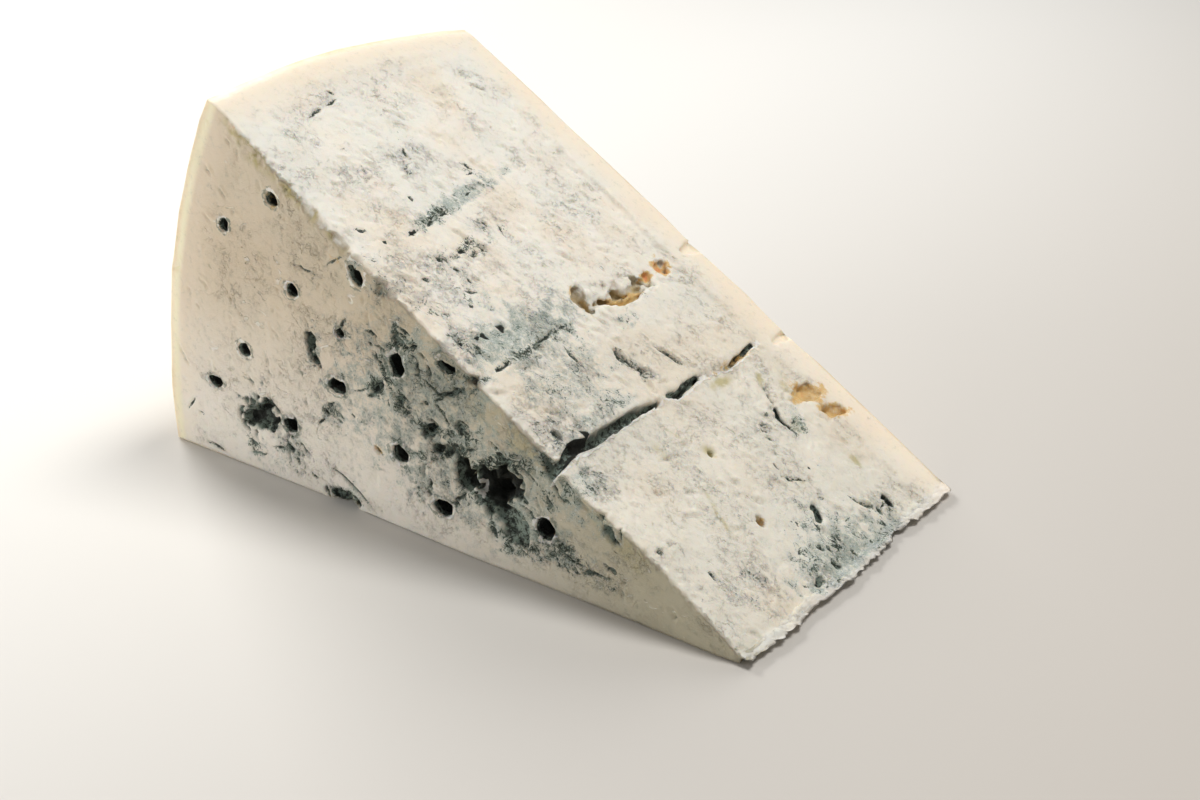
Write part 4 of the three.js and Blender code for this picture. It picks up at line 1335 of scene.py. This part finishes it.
CREAM = colour(247, 241, 229)
WARM_CREAM = colour(241, 229, 210)
COOL_CREAM = colour(241, 239, 229)
# Darker, warmer cream for the halving cut: painted shade, as that cut faces away from the lights.
SHADED_HALVING_CREAM = colour(216, 199, 172)
# Paler cream low on the halving cut: painted light bounced up from the floor.
HALVING_BOUNCE_LIGHT = colour(247, 241, 230)
HALVING_SHADE = colour(174, 167, 138)
THIN_CREAM = colour(219, 211, 193)
EDGE_CREAM = colour(254, 236, 213)
# A bright glow at the halving cut's edge under the rind: painted light shining through the thin rim.
PAINTED_RIM_GLOW = colour(255, 245, 214)
# Pale crumbs, and painted highlights on the lips of torn dashes and the rims of holes.
CRUMB_AND_HIGHLIGHT = colour(249, 247, 240)
BLOOM_PALE = colour(195, 206, 202)
BLOOM_DEEP = colour(131, 151, 144)
SPECK_DUSK = colour(112, 124, 112)
SPECK_DARK = colour(30, 38, 29)
LINING_GREY = colour(140, 155, 144)
LINING_DARK = colour(44, 52, 46)
# Near black deep in holes, pits, cracks and the great cavity: painted shade.
DEEP_SHADE_BLACK = colour(20, 24, 20)
RUST_GOLD = colour(224, 188, 122)
RUST_ORANGE = colour(222, 140, 76)
# Brown deep in rust pockets: partly brown stain, partly painted shade.
RUST_BROWN_AND_SHADE = colour(104, 78, 40)
# Olive for stains, and for painted shade along the halving cut's upper edge.
OLIVE_STAIN_AND_SHADE = colour(184, 172, 108)
# Olive-tinted painted shade deep in clean hollows.
CREVICE_OLIVE_SHADE = colour(184, 162, 110)
RIND_CREAM = colour(249, 231, 201)
RIND_DUSK = colour(228, 202, 160)

TEARING_TURN = math.radians(16)
TEARING_STRETCH = 1.15


def paste_material():
    material = bpy.data.materials.new("blue veined paste")
    material.use_nodes = True
    tree = Tree(material.node_tree)
    tree.nodes.clear()
    place = tree.add("ShaderNodeTexCoord").outputs["Object"]
    # the paste tears into pieces that are longer down the slope, and a little aslant
    slope = tree.mapped(place, "TEXTURE", Rotation=(0, CUT_ANGLE, 0))
    sloped = tree.mapped(slope, "TEXTURE", Rotation=(0, 0, TEARING_TURN), Scale=(TEARING_STRETCH, 1, 1))
    halving, mould = tree.mask("halving"), tree.mask("mould")
    rind, smooth_rind = tree.mask("rind"), tree.mask("under_rind")
    drawn = tree.add("ShaderNodeMix", {0: halving, 4: sloped, 5: place}, data_type="VECTOR").outputs[1]

    growth = tree.add(
        "ShaderNodeGroup",
        {"Place": drawn, "Patches": mould, "Specks": tree.mask("specks"), "Ink": tree.mask("ink")},
        node_tree=mould_growth(),
    ).outputs
    haze, dusk, dark, growth_lip = (growth[name] for name in ("Haze", "Dusk", "Dark", "Lip"))
    spread = tree.add(
        "ShaderNodeVectorMath",
        {0: drawn, "Scale": tree.fade(halving, 0.0, 1.0, 1.0, 0.5)},
        operation="SCALE",
    ).outputs[0]
    tears = tree.add("ShaderNodeGroup", {"Place": spread}, node_tree=fine_tears()).outputs
    torn = tree.math("SUBTRACT", 1.0, tree.fade(smooth_rind, 0.05, 0.4))
    line, lip = tree.times(tears["Line"], torn), tree.times(tears["Lip"], torn)
    flakes = tree.add("ShaderNodeGroup", {"Place": drawn}, node_tree=torn_flakes()).outputs["Height"]

    # clean paste, with painted shade and painted bounce light on the halving cut
    clouds = tree.noise(place, 48.0, 3.0, 0.5)
    mottle = tree.noise(drawn, 260.0, 5.0, 0.62)
    thin = tree.math("SUBTRACT", tree.fade(tree.mask("thin"), 0.45, 1.0), smooth_rind)
    rind_tone = tree.mix(tree.fade(tree.noise(place, 90.0, 4.0, 0.6), 0.42, 0.72), RIND_CREAM, RIND_DUSK)
    olive_and_shade = tree.times(tree.mask("olive_and_shade"), tree.fade(mottle, 0.38, 0.52))
    tone = tree.layered(CREAM, (
        (tree.fade(clouds, 0.42, 0.64), COOL_CREAM),
        (tree.fade(clouds, 0.50, 0.36, 0.0, 0.7), WARM_CREAM),
        (tree.fade(mottle, 0.5, 0.75, 0.0, 0.4), WARM_CREAM),
        (tree.times(tree.larger(thin, 0.0), 0.46), THIN_CREAM),
        # the halving cut painted darker and warmer than the upper cut: painted shade
        (tree.times(halving, 0.85), SHADED_HALVING_CREAM),
        # the halving cut paler towards its base: painted bounce light from the floor
        (tree.times(halving, tree.mask("painted_bounce")), HALVING_BOUNCE_LIGHT),
        (tree.times(tree.times(halving, tree.mask("thin")), 0.8), HALVING_SHADE),
        (tree.times(smooth_rind, tree.fade(halving, 0.0, 1.0, 0.8, 0.4)), EDGE_CREAM),
        # a bright glow along the halving cut's edge under the rind: painted light shining through the rim
        (tree.times(halving, tree.fade(smooth_rind, 0.86, 1.0)), PAINTED_RIM_GLOW),
        (rind, rind_tone),
        # olive stains, and painted shade along the halving cut's upper edge
        (tree.times(olive_and_shade, 0.8), OLIVE_STAIN_AND_SHADE),
        (tree.times(line, 0.20), LINING_GREY),
        # a pale lip on one side of each torn dash: partly pale crumb, partly painted highlight
        (tree.times(lip, 0.5), CRUMB_AND_HIGHLIGHT),
    ))

    # hollows, with painted shade deep in them, and the pale ragged rims of those in the halving cut, partly
    # painted highlight
    fur = tree.noise(place, 700.0, 6.0, 0.74)
    ragged = tree.math("SUBTRACT", fur, 0.5)
    clean = tree.mask("clean")
    depth = tree.scaled(tree.mask("depth"), DEEPEST, tree.times(ragged, 1.2))
    hollow = tree.times(tree.fade(depth, 0.0, 0.7), tree.math("SUBTRACT", 1.0, clean))
    deep = tree.fade(depth, 1.4, 6.0)
    reach = tree.scaled(tree.mask("mouths"), -FARTHEST_REACH, FARTHEST_REACH)
    reach = tree.scaled(ragged, 1.6, reach)
    arcs = tree.noise(place, 520.0, 2.0, 0.5)
    off_rim = tree.math("ABSOLUTE", tree.math("SUBTRACT", reach, 1.16))
    # pale arcs round the mouths of holes: partly pale crumbs, partly painted highlight
    rims = tree.times(tree.fade(off_rim, 0.26, 0.12), tree.fade(arcs, 0.47, 0.54))
    off_line = tree.math("ABSOLUTE", tree.math("SUBTRACT", reach, 1.40))
    rim_line = tree.times(tree.fade(off_line, 0.26, 0.06), tree.fade(arcs, 0.56, 0.46))
    lips = tree.fade(tree.scaled(ragged, 1.4, tree.mask("lips")), 0.45, 0.7)

    # mould and stains on it, and painted shade deep in hollows
    deepened = tree.larger(tree.fade(mould, 0.5, 1.0), tree.times(halving, 0.75))
    lining_and_shade = tree.mix(tree.fade(fur, 0.44, 0.56), LINING_DARK, LINING_GREY)
    # deeper in, the mould gives way to painted shade, near black
    lining_and_shade = tree.mix(tree.fade(deep, 0.0, 0.7, 0.0, 0.96), lining_and_shade, DEEP_SHADE_BLACK)
    # clean hollows turn darker and olive deeper in: painted shade
    crevice_shade = tree.times(clean, tree.fade(depth, 0.8, 3.6))
    rust = tree.scaled(ragged, 1.6, tree.mask("rust"))
    rust_tone = tree.mix(tree.fade(rust, 0.65, 1.1), RUST_GOLD, RUST_ORANGE)
    # rust turns brown deeper in: partly brown stain, partly painted shade
    rust_tone = tree.mix(tree.fade(depth, 3.6, 8.0, 0.0, 0.8), rust_tone, RUST_BROWN_AND_SHADE)
    tone = tree.layered(tone, (
        (tree.times(haze, 0.85), tree.mix(deepened, BLOOM_PALE, BLOOM_DEEP)),
        (tree.times(growth_lip, tree.fade(halving, 0.0, 1.0, 0.45, 0.30)), CRUMB_AND_HIGHLIGHT),
        (tree.times(dusk, 0.85), SPECK_DUSK),
        (tree.times(dark, 0.92), SPECK_DARK),
        (tree.times(rim_line, 0.7), SPECK_DUSK),
        # pale arcs round the mouths of holes: partly pale crumbs, partly painted highlight
        (tree.times(rims, 0.8), CRUMB_AND_HIGHLIGHT),
        (tree.times(hollow, 0.97), lining_and_shade),
        (tree.times(lips, 0.8), CRUMB_AND_HIGHLIGHT),
        (tree.times(crevice_shade, 0.85), CREVICE_OLIVE_SHADE),
        (tree.fade(rust, 0.25, 0.65, 0.0, 0.9), rust_tone),
    ))

    # fine relief
    grain = tree.noise(drawn, 1500.0, 4.0, 0.7)
    pores = tree.noise(drawn, 560.0, 6.0, 0.7)
    height = tree.scaled(pores, 0.65, tree.times(grain, 0.35))
    for layer, weight in (
        (dusk, -0.7), (flakes, 0.8), (line, -0.8), (lip, 0.5),
        (tree.larger(rims, lips), 0.4), (growth_lip, 0.3), (tree.times(fur, hollow), 1.5),
    ):
        height = tree.scaled(layer, weight, height)
    flaky = tree.fade(tree.noise(place, 80.0, 3.0, 0.5), 0.42, 0.58, 0.45, 1.0)
    amount = tree.times(flaky, tree.fade(tree.larger(smooth_rind, rind), 0.0, 1.0, 1.0, 0.25))
    bump = tree.add("ShaderNodeBump", {"Strength": amount, "Distance": 0.0006, "Height": height})
    gloss = tree.scaled(mottle, 0.22, 0.36)
    gloss = tree.scaled(tree.larger(haze, hollow), 0.25, gloss)
    shader = tree.add(
        "ShaderNodeBsdfPrincipled",
        {
            "Base Color": tone, "Roughness": gloss, "Normal": bump.outputs["Normal"],
            "Subsurface Weight": 0.35, "Subsurface Radius": (1.0, 0.72, 0.46), "Subsurface Scale": 0.0015,
            "IOR": 1.42,
        },
    )
    tree.add("ShaderNodeOutputMaterial", {"Surface": shader.outputs["BSDF"]})
    return material


def floor_material():
    material = bpy.data.materials.new("pale floor")
    material.use_nodes = True
    tree = Tree(material.node_tree)
    place = tree.add("ShaderNodeTexCoord").outputs["Object"]
    along = tree.add("ShaderNodeSeparateXYZ", {"Vector": place}).outputs["X"]
    # the floor painted darker towards +X: painted shade, as the light falls off there
    tone = tree.mix(tree.fade(along, -0.2, 0.25), colour(231, 230, 227), colour(180, 174, 167))
    shader = tree.nodes["Principled BSDF"]
    tree.links.new(tone, shader.inputs["Base Color"])
    shader.inputs["Roughness"].default_value = 0.7
    return material


# ---------------------------------------------------------------- floor, light and camera

CAMERA_AT = (104.8, -191.8, 156.6)  # in the wedge's own millimetres
CAMERA_TURN = math.radians(-36.02)
CAMERA_DOWN = math.radians(25.56)
CAMERA_LENS = 45.0


def stage_and_camera():
    deselect_all()
    bpy.ops.mesh.primitive_plane_add(size=6.0, location=(0, 0, -0.0002))
    floor = bpy.context.object
    floor.name = "floor"
    floor.data.materials.append(floor_material())

    camera = bpy.data.objects.new("camera", bpy.data.cameras.new("camera"))
    bpy.context.scene.collection.objects.link(camera)
    camera.data.lens = CAMERA_LENS
    camera.data.sensor_width = 36.0
    camera.data.clip_start = 0.01
    camera.location = placed(CAMERA_AT)
    looking = Vector((
        math.sin(CAMERA_TURN) * math.cos(CAMERA_DOWN),
        math.cos(CAMERA_TURN) * math.cos(CAMERA_DOWN),
        -math.sin(CAMERA_DOWN),
    ))
    camera.rotation_euler = looking.to_track_quat("-Z", "Y").to_euler()
    bpy.context.scene.camera = camera


def soft_light(name, at, towards, size, power, tint):
    light = bpy.data.objects.new(name, bpy.data.lights.new(name, "AREA"))
    bpy.context.scene.collection.objects.link(light)
    light.data.shape = "DISK"
    light.data.size = size
    light.data.energy = power
    light.data.color = tint
    light.location = at
    light.rotation_euler = (Vector(towards) - Vector(at)).to_track_quat("-Z", "Y").to_euler()


def lights():
    world = bpy.data.worlds.new("studio")
    bpy.context.scene.world = world
    world.use_nodes = True
    background = world.node_tree.nodes["Background"]
    background.inputs["Color"].default_value = (1.0, 0.985, 0.96, 1.0)
    background.inputs["Strength"].default_value = 0.26
    soft_light("window", (-0.95, 0.35, 0.70), (0, 0, 0.02), 0.5, 9.0, (1.0, 0.985, 0.96))
    soft_light("overhead", (0.28, 0.22, 1.00), (0, 0, 0.03), 0.4, 7.4, (1.0, 0.985, 0.955))
    soft_light("cloth_bounce", (-0.42, -0.50, 0.16), (-0.03, -0.04, 0.02), 0.5, 1.6, (1.0, 0.97, 0.93))
    bpy.context.scene.view_settings.view_transform = "Standard"


# ---------------------------------------------------------------- the scene

stage_and_camera()
lights()
wedge = gorgonzola_paste()
wedge.data.materials.clear()
wedge.data.materials.append(paste_material())
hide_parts("gorgonzola_wedge")
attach(wedge, "root")
